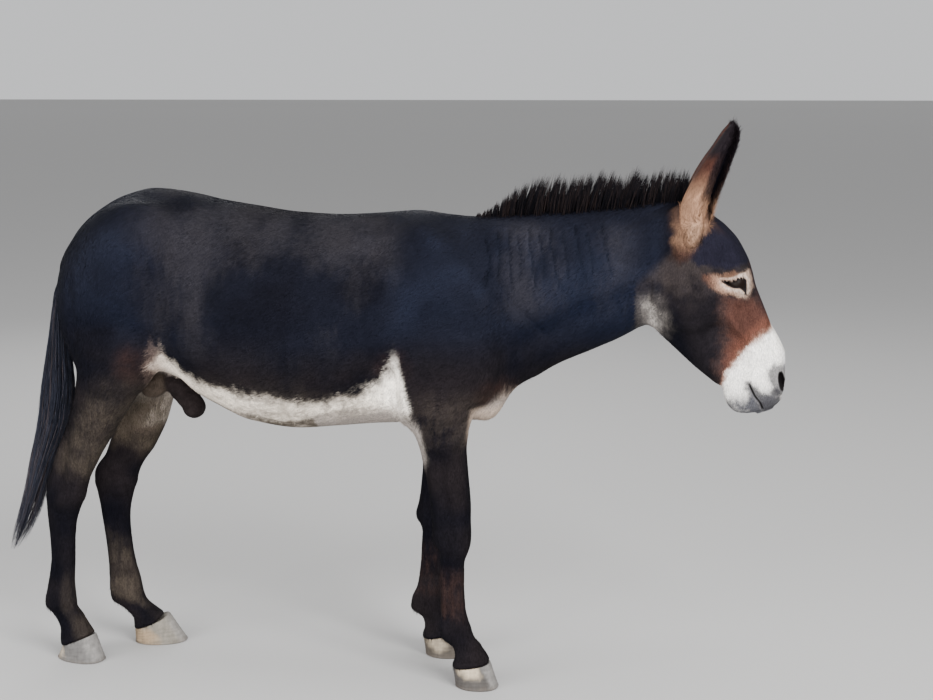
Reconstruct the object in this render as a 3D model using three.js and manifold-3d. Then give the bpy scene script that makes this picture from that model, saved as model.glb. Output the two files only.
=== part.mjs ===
// A life-size donkey, a jack standing square with its head held low, as a still display model.
//
// Millimetres. +X points towards the head, +Y to the donkey's left and +Z up. The hooves stand on z = 0.
// The flesh is one smooth field: lofts, which are stacks of rounded slices, and muscles, which are
// ellipsoids, melt into each other where they meet. Each node is a stretch of that field, meshed on a
// grid as fine as the stretch needs and parted from its neighbours by a thin flat seam.

import * as THREE from 'three';
import Module from 'manifold-3d';
import { mergeVertices } from 'three/addons/utils/BufferGeometryUtils.js';

const wasm = await Module();
wasm.setup();

// ---------------------------------------------------------------- driving dimensions

const SEAM = 0.3;                 // gap between neighbouring nodes
const FRAME_SHIFT_X = 265;        // from the near fore toe, where the tables start, to the middle of the length
const CORONET_HEIGHT = 52;        // top of a hoof
const FOREARM_TOP = 612;          // seam between chest and foreleg
const KNEE_BOTTOM = 326;          // seam between knee and fore cannon
const GASKIN_TOP = 694;           // seam between haunch and hind leg
const HOCK_BOTTOM = 384;          // seam between hock and hind cannon
const EYE_RADIUS = 21;
const HEAD_TILT = -64;            // degrees from level to the line from poll to lips
const POLL = [460, 1168];         // x and z of the top of the head's own axis

// Slices of the trunk and neck: x, top, bottom, half width, middle height as a share, squareness.
const TORSO = [
  [-1068, 985, 950, 14, 0.5, 2.0],
  [-1060, 1016, 932, 32, 0.5, 2.0],
  [-1040, 1063, 896, 62, 0.5, 2.0],
  [-1008, 1112, 836, 92, 0.5, 2.0],
  [-960, 1152, 768, 128, 0.5, 2.0],
  [-890, 1189, 752, 162, 0.52, 2.1],
  [-820, 1205, 747, 184, 0.52, 2.1],
  [-756, 1199, 730, 192, 0.5, 2.2],
  [-705, 1190, 691, 199, 0.49, 2.2],
  [-662, 1180, 669, 206, 0.48, 2.2],
  [-568, 1165, 630, 217, 0.46, 2.2],
  [-458, 1150, 616, 219, 0.46, 2.2],
  [-356, 1146, 623, 207, 0.46, 2.1],
  [-256, 1151, 631, 184, 0.46, 2.0],
  [-165, 1158, 634, 160, 0.46, 1.95],
  [-90, 1150, 634, 142, 0.46, 1.95],
];
const NECK = [
  [-28, 1145, 646, 128, 0.45, 1.95],
  [38, 1149, 692, 111, 0.45, 1.95],
  [102, 1155, 738, 96, 0.45, 1.95],
  [178, 1160, 787, 85, 0.46, 1.95],
  [258, 1168, 823, 77, 0.47, 2.0],
  [338, 1176, 861, 72, 0.48, 2.0],
  [410, 1182, 911, 66, 0.5, 2.0],
  [455, 1174, 966, 54, 0.5, 2.0],
  [480, 1138, 1037, 24, 0.5, 2.0],
];
// Slices of the head along its own axis: distance from the poll, face, jaw, half width, middle, squareness.
const HEAD = [
  [-22, 10, -60, 18, 0.5, 2.0],
  [0, 36, -110, 50, 0.55, 2.1],
  [40, 58, -150, 68, 0.6, 2.2],
  [85, 80, -172, 78, 0.66, 2.2],
  [130, 92, -184, 85, 0.7, 2.2],
  [170, 94, -188, 88, 0.72, 2.2],
  [207, 90, -183, 84, 0.73, 2.2],
  [247, 81, -173, 74, 0.72, 2.3],
  [292, 76, -157, 61, 0.68, 2.3],
  [333, 74, -139, 51, 0.62, 2.4],
  [368, 80, -123, 45, 0.6, 2.4],
  [403, 81, -106, 45, 0.58, 2.4],
  [433, 72, -93, 47, 0.56, 2.4],
  [462, 58, -92, 46, 0.55, 2.4],
  [488, 40, -84, 41, 0.54, 2.3],
  [508, 20, -66, 31, 0.54, 2.2],
  [522, -4, -42, 14, 0.5, 2.0],
];
// Legs: height, half depth from front to back, half width.
const FORELEG = [
  [855, 40, 26], [795, 66, 46], [735, 76, 55], [685, 77, 54], [640, 66, 48], [593, 56, 43],
  [543, 51, 39], [492, 48, 36], [442, 49, 35], [402, 48, 36], [361, 42, 34], [326, 31, 28],
  [291, 32, 24], [242, 31, 22], [199, 32, 23], [170, 34, 26], [146, 37, 28], [125, 38, 27],
  [103, 39, 27], [78, 46, 32], [48, 50, 38],
];
const HINDLEG = [
  [896, 60, 36], [845, 84, 62], [795, 92, 70], [744, 88, 68], [694, 80, 61], [654, 71, 54],
  [613, 67, 47], [573, 65, 41], [528, 62, 37], [482, 56, 34], [437, 57, 33], [407, 49, 31],
  [361, 40, 27], [311, 36, 23], [262, 35, 22], [214, 37, 23], [170, 42, 27], [141, 43, 29],
  [115, 42, 28], [91, 44, 30], [50, 51, 38],
];
// Where each leg goes: height, x and y of its middle, and how far it turns outwards, in degrees.
const PATHS = {
  fore_right: [
    [855, -99, -104, 0], [734, -102, -116, 0], [641, -91, -117, 0], [543, -83, -113, 0],
    [442, -70, -109, 0], [361, -67, -107, 0], [291, -68, -105, 0], [199, -65, -105, 0],
    [146, -56, -105, 0], [125, -50, -105, 0], [103, -33, -105, 0], [50, -19, -105, 0],
  ],
  fore_left: [
    [855, -101, 104, 0], [734, -112, 116, 0], [641, -116, 115, 0], [543, -125, 110, 0],
    [442, -131, 105, 0], [361, -144, 101, 0], [291, -146, 98, 0], [199, -154, 95, 0],
    [146, -162, 94, 0], [125, -160, 94, 0], [103, -142, 94, 0], [50, -126, 94, 0],
  ],
  hind_right: [
    [896, -895, -118, 0], [795, -900, -116, 0], [694, -930, -104, -4], [613, -974, -92, -9],
    [528, -1021, -82, -15], [437, -1055, -73, -15], [361, -1071, -67, -15], [262, -1076, -62, -15],
    [170, -1086, -60, -15], [141, -1086, -60, -15], [115, -1068, -61, -15], [50, -1043, -64, -15],
  ],
  hind_left: [
    [896, -890, 118, 0], [795, -888, 116, 0], [694, -894, 107, 4], [613, -906, 98, 9],
    [528, -939, 91, 15], [437, -983, 84, 15], [361, -986, 80, 15], [262, -978, 76, 15],
    [170, -966, 74, 15], [141, -962, 74, 15], [115, -953, 75, 15], [50, -896, 79, 15],
  ],
};
// Muscles on each side: x, y, z of the middle, three radii, forward lean in degrees, and how softly it joins.
const MUSCLES = {
  shoulder_blade: [-80, 86, 951, 82, 62, 185, -26, 70],
  upper_arm: [-66, 122, 785, 98, 50, 92, 0, 60],
  elbow: [-155, 112, 730, 50, 44, 84, 10, 50],
  breast: [-4, 52, 740, 52, 52, 84, -14, 50],
  hip_point: [-810, 138, 1115, 70, 32, 50, 0, 70],
  haunch: [-905, 108, 961, 122, 74, 180, 14, 80],
  stifle: [-852, 126, 795, 50, 42, 78, -10, 60],
  buttock: [-960, 78, 900, 56, 60, 135, 6, 60],
};

// ---------------------------------------------------------------- lofts: stacks of rounded slices

// The slope at each row keeps the curve through the rows free of overshoot.
function slopesOf(rows, column) {
  return rows.map((row, i) => {
    if (i === 0 || i === rows.length - 1) return 0;
    const before = (row[column] - rows[i - 1][column]) / (row[0] - rows[i - 1][0]);
    const after = (rows[i + 1][column] - row[column]) / (rows[i + 1][0] - row[0]);
    return before * after > 0 ? (2 * before * after) / (before + after) : 0;
  });
}

// A smooth curve through the rows, which are sorted by their first column.
function curveThrough(table) {
  const rows = [...table].sort((a, b) => a[0] - b[0]);
  const slopes = rows[0].map((_, column) => slopesOf(rows, column));
  const last = rows.length - 1;
  return (s) => {
    const place = Math.min(Math.max(s, rows[0][0]), rows[last][0]);
    let i = 0;
    while (i < last - 1 && rows[i + 1][0] < place) i += 1;
    const step = rows[i + 1][0] - rows[i][0];
    const t = (place - rows[i][0]) / step;
    const rise = t * t * (3 - 2 * t);
    const leave = t * (1 - t) * (1 - t) * step;
    const arrive = t * t * (t - 1) * step;
    return rows[i].map((value, column) => value + (rows[i + 1][column] - value) * rise
      + slopes[column][i] * leave + slopes[column][i + 1] * arrive);
  };
}

// A loft has an origin in x and z and a tilt; its slices stand across that line, symmetric about y = centre.
function loft(origin, tilt, rows, slice) {
  const first = Math.min(...rows.map((row) => row[0]));
  const last = Math.max(...rows.map((row) => row[0]));
  const along = [Math.cos(THREE.MathUtils.degToRad(tilt)), Math.sin(THREE.MathUtils.degToRad(tilt))];
  return { origin, along, first, last, slice };
}

// A slice from a row of top, bottom, half width, middle and squareness, as the trunk and head have.
function bodySlice(rows) {
  const at = curveThrough(rows);
  return (s) => {
    const [, top, bottom, half, middle, power] = at(s);
    const centre = bottom + (top - bottom) * middle;
    return { centre, up: top - centre, down: centre - bottom, half, power, side: 0, turn: 0 };
  };
}

// A slice of a leg; the loft runs straight up, so "up" in the slice points backwards along x.
function legSlice(shape, path) {
  const size = curveThrough(shape);
  const place = curveThrough(path);
  return (s) => {
    const [, depth, half] = size(s);
    const [, x, y, turn] = place(s);
    return { centre: -x, up: depth, down: depth, half, power: 2.2, side: y, turn: -THREE.MathUtils.degToRad(turn) };
  };
}

function sliceDistance(slice, v, y) {
  const cos = Math.cos(slice.turn);
  const sin = Math.sin(slice.turn);
  const dv = (v - slice.centre) * cos + (y - slice.side) * sin;
  const dw = (y - slice.side) * cos - (v - slice.centre) * sin;
  const reach = dv > 0 ? slice.up : slice.down;
  const share = (Math.abs(dv / reach) ** slice.power + Math.abs(dw / slice.half) ** slice.power) ** (1 / slice.power);
  return share > 1e-6 ? Math.hypot(dv, dw) * (1 - 1 / share) : -slice.half;
}

const SLOPE_STEP = 4;

function loftDistance(body, x, y, z) {
  const dx = x - body.origin[0];
  const dz = z - body.origin[1];
  const s = dx * body.along[0] + dz * body.along[1];
  const v = dz * body.along[0] - dx * body.along[1];
  const inside = Math.min(Math.max(s, body.first), body.last);
  const here = sliceDistance(body.slice(inside), v, y);
  const ahead = sliceDistance(body.slice(inside + SLOPE_STEP), v, y);
  const behind = sliceDistance(body.slice(inside - SLOPE_STEP), v, y);
  const slope = (ahead - behind) / (2 * SLOPE_STEP);
  const across = here / Math.hypot(1, slope);
  return s === inside ? across : Math.max(across, Math.abs(s - inside));
}

function muscleDistance([mx, my, mz, rx, ry, rz, lean], x, y, z) {
  const angle = THREE.MathUtils.degToRad(lean);
  const dx = x - mx;
  const dz = z - mz;
  const px = dx * Math.cos(angle) - dz * Math.sin(angle);
  const pz = dx * Math.sin(angle) + dz * Math.cos(angle);
  const py = y - my;
  const share = Math.hypot(px / rx, py / ry, pz / rz);
  const steep = Math.hypot(px / (rx * rx), py / (ry * ry), pz / (rz * rz));
  return steep > 1e-9 ? (share * (share - 1)) / steep : -Math.min(rx, ry, rz);
}

// Two forms melt into each other where both surfaces are nearer than the softness.
function melt(a, b, softness) {
  const near = Math.max(softness - Math.abs(a - b), 0) / softness;
  return Math.min(a, b) - (near * near * softness) / 4;
}

// ---------------------------------------------------------------- the body as one field

const torso = loft([0, 0], 0, [...TORSO, ...NECK], bodySlice([...TORSO, ...NECK]));
const head = loft(POLL, HEAD_TILT, HEAD, bodySlice(HEAD));
const legs = Object.fromEntries(Object.entries(PATHS).map(([name, path]) => {
  const shape = name.startsWith('fore') ? FORELEG : HINDLEG;
  return [name, loft([0, 0], 90, shape, legSlice(shape, path))];
}));
const FAR_AWAY = 400;
const HEAD_FIELD_START = 250;     // the head has no effect behind this x
const LEG_FIELD_TOP = 1000;       // the legs have none above this height
const LEG_FIELD_SIDE = 60;        // and none this far beyond the middle plane
const HEAD_BLEND = 36;
const LEG_BLEND = 34;

// Distance to the skin: below zero inside the body, above zero outside.
function bodyDistance(x, y, z) {
  let distance = loftDistance(torso, x, y, z);
  if (x > HEAD_FIELD_START) distance = melt(distance, loftDistance(head, x, y, z), HEAD_BLEND);
  for (const muscle of Object.values(MUSCLES)) {
    if (Math.abs(x - muscle[0]) < FAR_AWAY) {
      distance = melt(distance, muscleDistance(muscle, x, Math.abs(y), z), muscle[7]);
    }
  }
  for (const [name, leg] of Object.entries(legs)) {
    const ownSide = name.endsWith('left') ? y > -LEG_FIELD_SIDE : y < LEG_FIELD_SIDE;
    const ownEnd = name.startsWith('fore') ? x > -FAR_AWAY : x < -FAR_AWAY;
    if (ownSide && ownEnd && z < LEG_FIELD_TOP) {
      distance = melt(distance, loftDistance(leg, x, y, z), LEG_BLEND);
    }
  }
  return distance;
}

// ---------------------------------------------------------------- from field to solid

function solidFrom(positions, triangles) {
  return new wasm.Manifold(new wasm.Mesh({
    numProp: 3,
    vertProperties: new Float32Array(positions),
    triVerts: new Uint32Array(triangles),
  }));
}

function solidOf(geometry) {
  geometry.deleteAttribute('normal');
  geometry.deleteAttribute('uv');
  const merged = mergeVertices(geometry, 1e-3);
  return solidFrom(merged.attributes.position.array, merged.index.array);
}

// The patch of space to mesh: its low and high corner, and the size of its cells.
function patch(low, high, cells) {
  const count = low.map((value, axis) => Math.ceil((high[axis] - value) / cells[axis]));
  const gridPoint = (...steps) => low.map((value, axis) => value + steps[axis] * cells[axis]);
  return { count, gridPoint };
}

// A cell's corners, its edges along x, y and z, and its faces, each as the four edges round it.
const CELL_CORNERS = [[0, 0, 0], [1, 0, 0], [0, 1, 0], [1, 1, 0], [0, 0, 1], [1, 0, 1], [0, 1, 1], [1, 1, 1]];
const CELL_EDGES = [[0, 1], [2, 3], [4, 5], [6, 7], [0, 2], [1, 3], [4, 6], [5, 7], [0, 4], [1, 5], [2, 6], [3, 7]];
const CELL_FACES = [[0, 5, 1, 4], [2, 7, 3, 6], [0, 9, 2, 8], [1, 11, 3, 10], [4, 10, 6, 8], [5, 11, 7, 9]];

// The edges of a cell that the skin crosses, in groups: each group is one sheet of skin.
function sheetsIn(corners) {
  const crossed = CELL_EDGES.map(([a, b]) => (corners[a] < 0) !== (corners[b] < 0));
  const sheet = CELL_EDGES.map((_, edge) => edge);
  const rename = (from, to) => sheet.forEach((name, edge) => {
    if (name === from) sheet[edge] = to;
  });
  for (const face of CELL_FACES) {
    const here = face.filter((edge) => crossed[edge]);
    for (const a of here) {
      for (const b of here) {
        const shared = CELL_EDGES[a].find((corner) => CELL_EDGES[b].includes(corner));
        const joined = here.length === 2 || (shared !== undefined && corners[shared] < 0);
        if (a < b && joined) rename(sheet[b], sheet[a]);
      }
    }
  }
  const groups = new Map();
  crossed.forEach((cut, edge) => {
    if (cut) groups.set(sheet[edge], [...(groups.get(sheet[edge]) ?? []), edge]);
  });
  return [...groups.values()];
}

// Moves a point onto the skin along the field's own slope.
function settle(point, distance) {
  const [x, y, z] = point;
  const step = 0.5;
  const d = distance(x, y, z);
  const gx = (distance(x + step, y, z) - distance(x - step, y, z)) / (2 * step);
  const gy = (distance(x, y + step, z) - distance(x, y - step, z)) / (2 * step);
  const gz = (distance(x, y, z + step) - distance(x, y, z - step)) / (2 * step);
  const steep = Math.max(gx * gx + gy * gy + gz * gz, 0.25);
  return [x - (d * gx) / steep, y - (d * gy) / steep, z - (d * gz) / steep];
}

// Samples the field at a patch's grid points; the outermost ones always count as outside.
function sampleField(space, distance, index) {
  const [nx, ny, nz] = space.count;
  const value = new Float64Array((nx + 1) * (ny + 1) * (nz + 1));
  for (let k = 0; k <= nz; k += 1) {
    for (let j = 0; j <= ny; j += 1) {
      for (let i = 0; i <= nx; i += 1) {
        const rim = i === 0 || j === 0 || k === 0 || i === nx || j === ny || k === nz;
        const d = distance(...space.gridPoint(i, j, k));
        value[index(i, j, k)] = rim ? Math.max(d, 1) : d;
      }
    }
  }
  return value;
}

// The middle of one sheet's crossings, in cell coordinates.
function sheetMiddle(sheet, corners) {
  const sum = [0, 0, 0];
  for (const edge of sheet) {
    const [a, b] = CELL_EDGES[edge];
    const t = corners[a] / (corners[a] - corners[b]);
    for (let axis = 0; axis < 3; axis += 1) {
      sum[axis] += CELL_CORNERS[a][axis] * (1 - t) + CELL_CORNERS[b][axis] * t;
    }
  }
  return sum.map((total) => total / sheet.length);
}

// Meshes the skin inside a patch: a vertex for each sheet in a cell, and a square round each crossed edge.
function solidOfField(space, distance) {
  const [nx, ny, nz] = space.count;
  const index = (i, j, k) => i + (nx + 1) * (j + (ny + 1) * k);
  const value = sampleField(space, distance, index);
  const vertexOf = new Map();
  const positions = [];
  for (let k = 0; k < nz; k += 1) {
    for (let j = 0; j < ny; j += 1) {
      for (let i = 0; i < nx; i += 1) {
        const corners = CELL_CORNERS.map(([a, b, c]) => value[index(i + a, j + b, k + c)]);
        const onRim = i === 0 || j === 0 || k === 0 || i === nx - 1 || j === ny - 1 || k === nz - 1;
        for (const sheet of sheetsIn(corners)) {
          const [u, v, w] = sheetMiddle(sheet, corners);
          const point = space.gridPoint(i + u, j + v, k + w);
          for (const edge of sheet) vertexOf.set(index(i, j, k) * 12 + edge, positions.length / 3);
          positions.push(...(onRim ? point : settle(settle(point, distance), distance)));
        }
      }
    }
  }
  const triangles = [];
  const addSquare = (keys, inside) => {
    const square = keys.map(([cell, edge]) => vertexOf.get(cell * 12 + edge));
    if (!inside) square.reverse();
    triangles.push(square[0], square[1], square[2], square[0], square[2], square[3]);
  };
  for (let k = 0; k < nz; k += 1) {
    for (let j = 0; j < ny; j += 1) {
      for (let i = 0; i < nx; i += 1) {
        const inside = value[index(i, j, k)] < 0;
        const here = index(i, j, k);
        if (j > 0 && k > 0 && inside !== value[index(i + 1, j, k)] < 0) {
          const cells = [[index(i, j - 1, k - 1), 3], [index(i, j, k - 1), 2], [here, 0], [index(i, j - 1, k), 1]];
          addSquare(cells, inside);
        }
        if (i > 0 && k > 0 && inside !== value[index(i, j + 1, k)] < 0) {
          const cells = [[index(i - 1, j, k - 1), 7], [index(i - 1, j, k), 5], [here, 4], [index(i, j, k - 1), 6]];
          addSquare(cells, inside);
        }
        if (i > 0 && j > 0 && inside !== value[index(i, j, k + 1)] < 0) {
          const cells = [[index(i - 1, j - 1, k), 11], [index(i, j - 1, k), 10], [here, 8], [index(i - 1, j, k), 9]];
          addSquare(cells, inside);
        }
      }
    }
  }
  return solidFrom(positions, triangles);
}

function block(low, high) {
  const geometry = new THREE.BoxGeometry(high[0] - low[0], high[1] - low[1], high[2] - low[2]);
  geometry.translate((low[0] + high[0]) / 2, (low[1] + high[1]) / 2, (low[2] + high[2]) / 2);
  return solidOf(geometry);
}

// The walls between rings that all have the same number of points.
function wallsBetween(rings) {
  const count = rings[0].length;
  const triangles = [];
  for (let r = 0; r < rings.length - 1; r += 1) {
    for (let i = 0; i < count; i += 1) {
      const a = r * count + i;
      const b = r * count + ((i + 1) % count);
      triangles.push(a, b, b + count, a, b + count, a + count);
    }
  }
  return triangles;
}

// A closed tube through rings, capped by fans about each end's middle.
function solidOfRings(rings) {
  const count = rings[0].length;
  const positions = rings.flat(2);
  const triangles = wallsBetween(rings);
  for (const [ring, flip] of [[0, true], [rings.length - 1, false]]) {
    const middle = positions.length / 3;
    for (let axis = 0; axis < 3; axis += 1) {
      positions.push(rings[ring].reduce((sum, point) => sum + point[axis], 0) / count);
    }
    for (let i = 0; i < count; i += 1) {
      const a = ring * count + i;
      const b = ring * count + ((i + 1) % count);
      triangles.push(...(flip ? [b, a, middle] : [a, b, middle]));
    }
  }
  return solidFrom(positions, triangles);
}

const CAST_STEP = 6;
const CAST_REACH = 330;
const CAST_HALVINGS = 10;

// The ring where a plane across the body meets the skin. The plane stands on edge through a top and a
// bottom point in x and z; each point of the ring is found by walking out from between the two.
function castRing(top, bottom, side, points) {
  const length = Math.hypot(top[0] - bottom[0], top[1] - bottom[1]);
  const up = [(top[0] - bottom[0]) / length, (top[1] - bottom[1]) / length];
  const middle = [(top[0] + bottom[0]) / 2, side, (top[1] + bottom[1]) / 2];
  return Array.from({ length: points }, (_, i) => {
    const turn = (i / points) * Math.PI * 2;
    const way = [up[0] * Math.cos(turn), -Math.sin(turn), up[1] * Math.cos(turn)];
    const at = (r) => middle.map((value, axis) => value + way[axis] * r);
    let outside = CAST_STEP;
    while (outside < CAST_REACH && bodyDistance(...at(outside)) < 0) outside += CAST_STEP;
    let inside = outside - CAST_STEP;
    for (let n = 0; n < CAST_HALVINGS; n += 1) {
      const half = (inside + outside) / 2;
      if (bodyDistance(...at(half)) < 0) inside = half;
      else outside = half;
    }
    return at(inside);
  });
}

function between(a, b, t) {
  return a.map((value, axis) => value + (b[axis] - value) * t);
}

// ---------------------------------------------------------------- nodes of flesh

// Seams stand on edge through a top and a bottom point in x and z.
const NECK_SEAM = { top: [20, 1190], bottom: [95, 700] };
const THROAT_SEAM = { top: [458, 1215], bottom: [377, 870] };

// A seam moved along x, so that the two sides of it keep their gap.
function shifted(seam, distance) {
  return { top: [seam.top[0] + distance, seam.top[1]], bottom: [seam.bottom[0] + distance, seam.bottom[1]] };
}

// A slab that takes away all that lies ahead of a seam.
function aheadOf({ top, bottom }) {
  const lean = Math.atan2(top[0] - bottom[0], top[1] - bottom[1]);
  const size = 1600;
  const geometry = new THREE.BoxGeometry(size, size, size);
  geometry.translate(size / 2, 0, 0);
  geometry.rotateY(lean);
  geometry.translate((top[0] + bottom[0]) / 2, 0, (top[1] + bottom[1]) / 2);
  return solidOf(geometry);
}

function makeTrunk() {
  const space = patch([-1120, -252, 570], [190, 252, 1250], [45, 42, 41]);
  return solidOfField(space, bodyDistance)
    .subtract(aheadOf(shifted(NECK_SEAM, -SEAM / 2)))
    .subtract(block([-300, -300, 0], [300, 300, FOREARM_TOP + SEAM / 2]))
    .subtract(block([-1300, -300, 0], [-780, 300, GASKIN_TOP + SEAM / 2]));
}

const NECK_RINGS = 9;
const NECK_POINTS = 22;

// With a lap the neck runs a little into the trunk and head, to cut what sits across its seams.
function makeNeck(lap = 0) {
  const back = shifted(NECK_SEAM, SEAM / 2 - lap);
  const front = shifted(THROAT_SEAM, lap - SEAM / 2);
  return solidOfRings(Array.from({ length: NECK_RINGS }, (_, i) => {
    const t = i / (NECK_RINGS - 1);
    return castRing(between(back.top, front.top, t), between(back.bottom, front.bottom, t), 0, NECK_POINTS);
  }));
}

// Points on the head are given as distance down its axis, distance towards the face, and y.
function onHead(down, front, y) {
  const angle = THREE.MathUtils.degToRad(HEAD_TILT);
  return [
    POLL[0] + down * Math.cos(angle) - front * Math.sin(angle),
    y,
    POLL[1] + down * Math.sin(angle) + front * Math.cos(angle),
  ];
}

function pebble(centre, radii, lean, segments = 12) {
  const geometry = new THREE.SphereGeometry(1, segments, Math.round(segments * 0.66));
  geometry.scale(...radii);
  geometry.rotateY(-THREE.MathUtils.degToRad(lean));
  geometry.translate(...centre);
  return solidOf(geometry);
}

const EYE_PLACE = { down: 207, front: 40, side: 66 };
const NOSTRIL = { down: 466, front: 42, side: 46, radii: [24, 7, 6], lean: HEAD_TILT + 4 };
const MOUTH = { corner: 446, front: -27, height: 1.2, depth: 110 };
const HEAD_RINGS = 24;
const HEAD_POINTS = 22;
const HEAD_END = 519;             // the last ring, just short of the lips

// The rings of the head fan out from the throat seam until they stand across the head's own axis.
function makeHead() {
  const rings = [];
  const slice = bodySlice(HEAD);
  const start = shifted(THROAT_SEAM, SEAM / 2);
  rings.push(castRing(start.top, start.bottom, 0, HEAD_POINTS));
  for (let i = 1; i <= HEAD_RINGS; i += 1) {
    const t = i / HEAD_RINGS;
    const ease = t + 0.22 * t * (1 - t);
    const faceDown = -20 + (HEAD_END + 20) * ease;
    const jawDown = 222 + (HEAD_END - 222) * ease;
    const face = slice(faceDown);
    const jaw = slice(jawDown);
    const top = onHead(faceDown, face.centre + face.up, 0);
    const bottom = onHead(jawDown, jaw.centre - jaw.down, 0);
    rings.push(castRing([top[0], top[2]], [bottom[0], bottom[2]], 0, HEAD_POINTS));
  }
  let solid = solidOfRings(rings).subtract(mouthSlit());
  for (const side of [-1, 1]) {
    const nostril = onHead(NOSTRIL.down, NOSTRIL.front, side * NOSTRIL.side);
    solid = solid.subtract(pebble(nostril, NOSTRIL.radii, NOSTRIL.lean, 10));
    solid = solid.subtract(eyeball(side, EYE_RADIUS + SEAM));
  }
  return solid;
}

// The line between the closed lips, from the corners of the mouth forwards.
function mouthSlit() {
  const geometry = new THREE.BoxGeometry(MOUTH.depth, MOUTH.depth, MOUTH.height);
  geometry.translate(MOUTH.depth / 2, 0, 0);
  geometry.rotateY(-THREE.MathUtils.degToRad(HEAD_TILT));
  geometry.translate(...onHead(MOUTH.corner, MOUTH.front, 0));
  return solidOf(geometry);
}

function eyeball(side, radius) {
  return pebble(onHead(EYE_PLACE.down, EYE_PLACE.front, side * EYE_PLACE.side), [radius, radius, radius], 0, 12);
}

const LEG_POINTS = 12;
const UPPER_RINGS = 9;
const LOWER_RINGS = 13;

function legRings(name, top, bottom, count) {
  const path = curveThrough(PATHS[name]);
  return Array.from({ length: count }, (_, i) => {
    const z = bottom + ((top - bottom) * i) / (count - 1);
    const [, x, y] = path(z);
    return castRing([x - 1, z], [x + 1, z], y, LEG_POINTS);
  });
}

// The upper and lower length of a leg part at the knee or hock.
function makeLeg(name) {
  const [top, middle] = name.startsWith('fore') ? [FOREARM_TOP, KNEE_BOTTOM] : [GASKIN_TOP, HOCK_BOTTOM];
  return [
    solidOfRings(legRings(name, top - SEAM / 2, middle + SEAM / 2, UPPER_RINGS)),
    solidOfRings(legRings(name, middle - SEAM / 2, CORONET_HEIGHT + SEAM / 2, LOWER_RINGS)),
  ];
}

// ---------------------------------------------------------------- hooves

// A hoof: rounded toe, straighter quarters and a narrower heel, sloping out to a flat sole.
const HOOF_POINTS = 16;
const HOOF_HALF_WIDTH = 41;
const HOOF_ROUNDNESS = 0.86;      // 1 is an ellipse, and less is squarer
const HEEL_NARROWING = 0.2;
const HOOVES = {
  fore_right: { x: -19, y: -105, turn: 0, length: 104, slide: 13 },
  fore_left: { x: -126, y: 94, turn: 0, length: 104, slide: 13 },
  hind_right: { x: -1045, y: -64, turn: -15, length: 132, slide: 7 },
  hind_left: { x: -893, y: 80, turn: 15, length: 134, slide: 18 },
};

function hoofRing(hoof, height, grow, slide) {
  const turn = THREE.MathUtils.degToRad(hoof.turn);
  return Array.from({ length: HOOF_POINTS }, (_, i) => {
    const angle = (i / HOOF_POINTS) * Math.PI * 2;
    const front = Math.cos(angle);
    const out = Math.sin(angle);
    const heel = front < 0 ? 1 - HEEL_NARROWING * front * front : 1;
    const u = slide + (hoof.length / 2) * grow * Math.sign(front) * Math.abs(front) ** HOOF_ROUNDNESS;
    const v = HOOF_HALF_WIDTH * grow * heel * Math.sign(out) * Math.abs(out) ** HOOF_ROUNDNESS;
    return [
      hoof.x + u * Math.cos(turn) - v * Math.sin(turn),
      hoof.y + u * Math.sin(turn) + v * Math.cos(turn),
      height,
    ];
  });
}

function makeHoof(name) {
  const hoof = HOOVES[name];
  return solidOfRings([
    hoofRing(hoof, 0, 0.98, hoof.slide),
    hoofRing(hoof, 5, 1.0, hoof.slide * 0.94),
    hoofRing(hoof, CORONET_HEIGHT - 10, 0.92, 0),
    hoofRing(hoof, CORONET_HEIGHT - SEAM / 2, 0.88, -1),
  ]);
}

// ---------------------------------------------------------------- ears, mane and tail

// An ear is a leaf rolled into a scoop: x and z of its spine, radius, half opening in degrees.
const EAR = [
  [486, 1092, 40, 31, 60], [487, 1125, 45, 36, 62], [494, 1160, 46, 39, 66], [506, 1200, 46, 40, 76],
  [524, 1245, 44, 38, 84], [542, 1285, 38, 34, 92], [559, 1318, 31, 27, 98], [569, 1345, 22, 19, 100],
  [573, 1360, 11, 10, 100], [574, 1366, 5, 5, 100],
];
const EAR_WALL = 6;
const EAR_ARC_POINTS = 9;
const EAR_TURN = -38;             // the scoop opens forwards and this far outwards, in degrees
const EAR_BASE_Y = 52;
const EAR_SPREAD = 0.07;          // sideways lean, as a share of the height above the base

function earRing([x, z, deep, wide, opening], side) {
  const turn = THREE.MathUtils.degToRad(EAR_TURN);
  const closed = Math.PI - THREE.MathUtils.degToRad(opening) / 2;
  const arc = (wall, i) => {
    const angle = Math.PI - closed + (2 * closed * i) / (EAR_ARC_POINTS - 1);
    const u = (deep - wall) * Math.cos(angle);
    const v = (wide - wall) * Math.sin(angle);
    const outwards = EAR_BASE_Y + (z - EAR[0][1]) * EAR_SPREAD;
    return [
      x + u * Math.cos(turn) - v * Math.sin(turn),
      side * (outwards - u * Math.sin(turn) - v * Math.cos(turn)),
      z + 0.3 * u,
    ];
  };
  const steps = Array.from({ length: EAR_ARC_POINTS }, (_, i) => i);
  const wall = Math.min(EAR_WALL, deep * 0.45);
  return [...steps.map((i) => arc(0, i)), ...steps.reverse().map((i) => arc(wall, i))];
}

function makeEar(side, body) {
  const rings = EAR.map((row) => earRing(row, side));
  if (side > 0) rings.forEach((ring) => ring.reverse());
  return solidOfStrip(rings).subtract(body).translate([0.3 * SEAM, 0, 1.5 * SEAM]);
}

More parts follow.
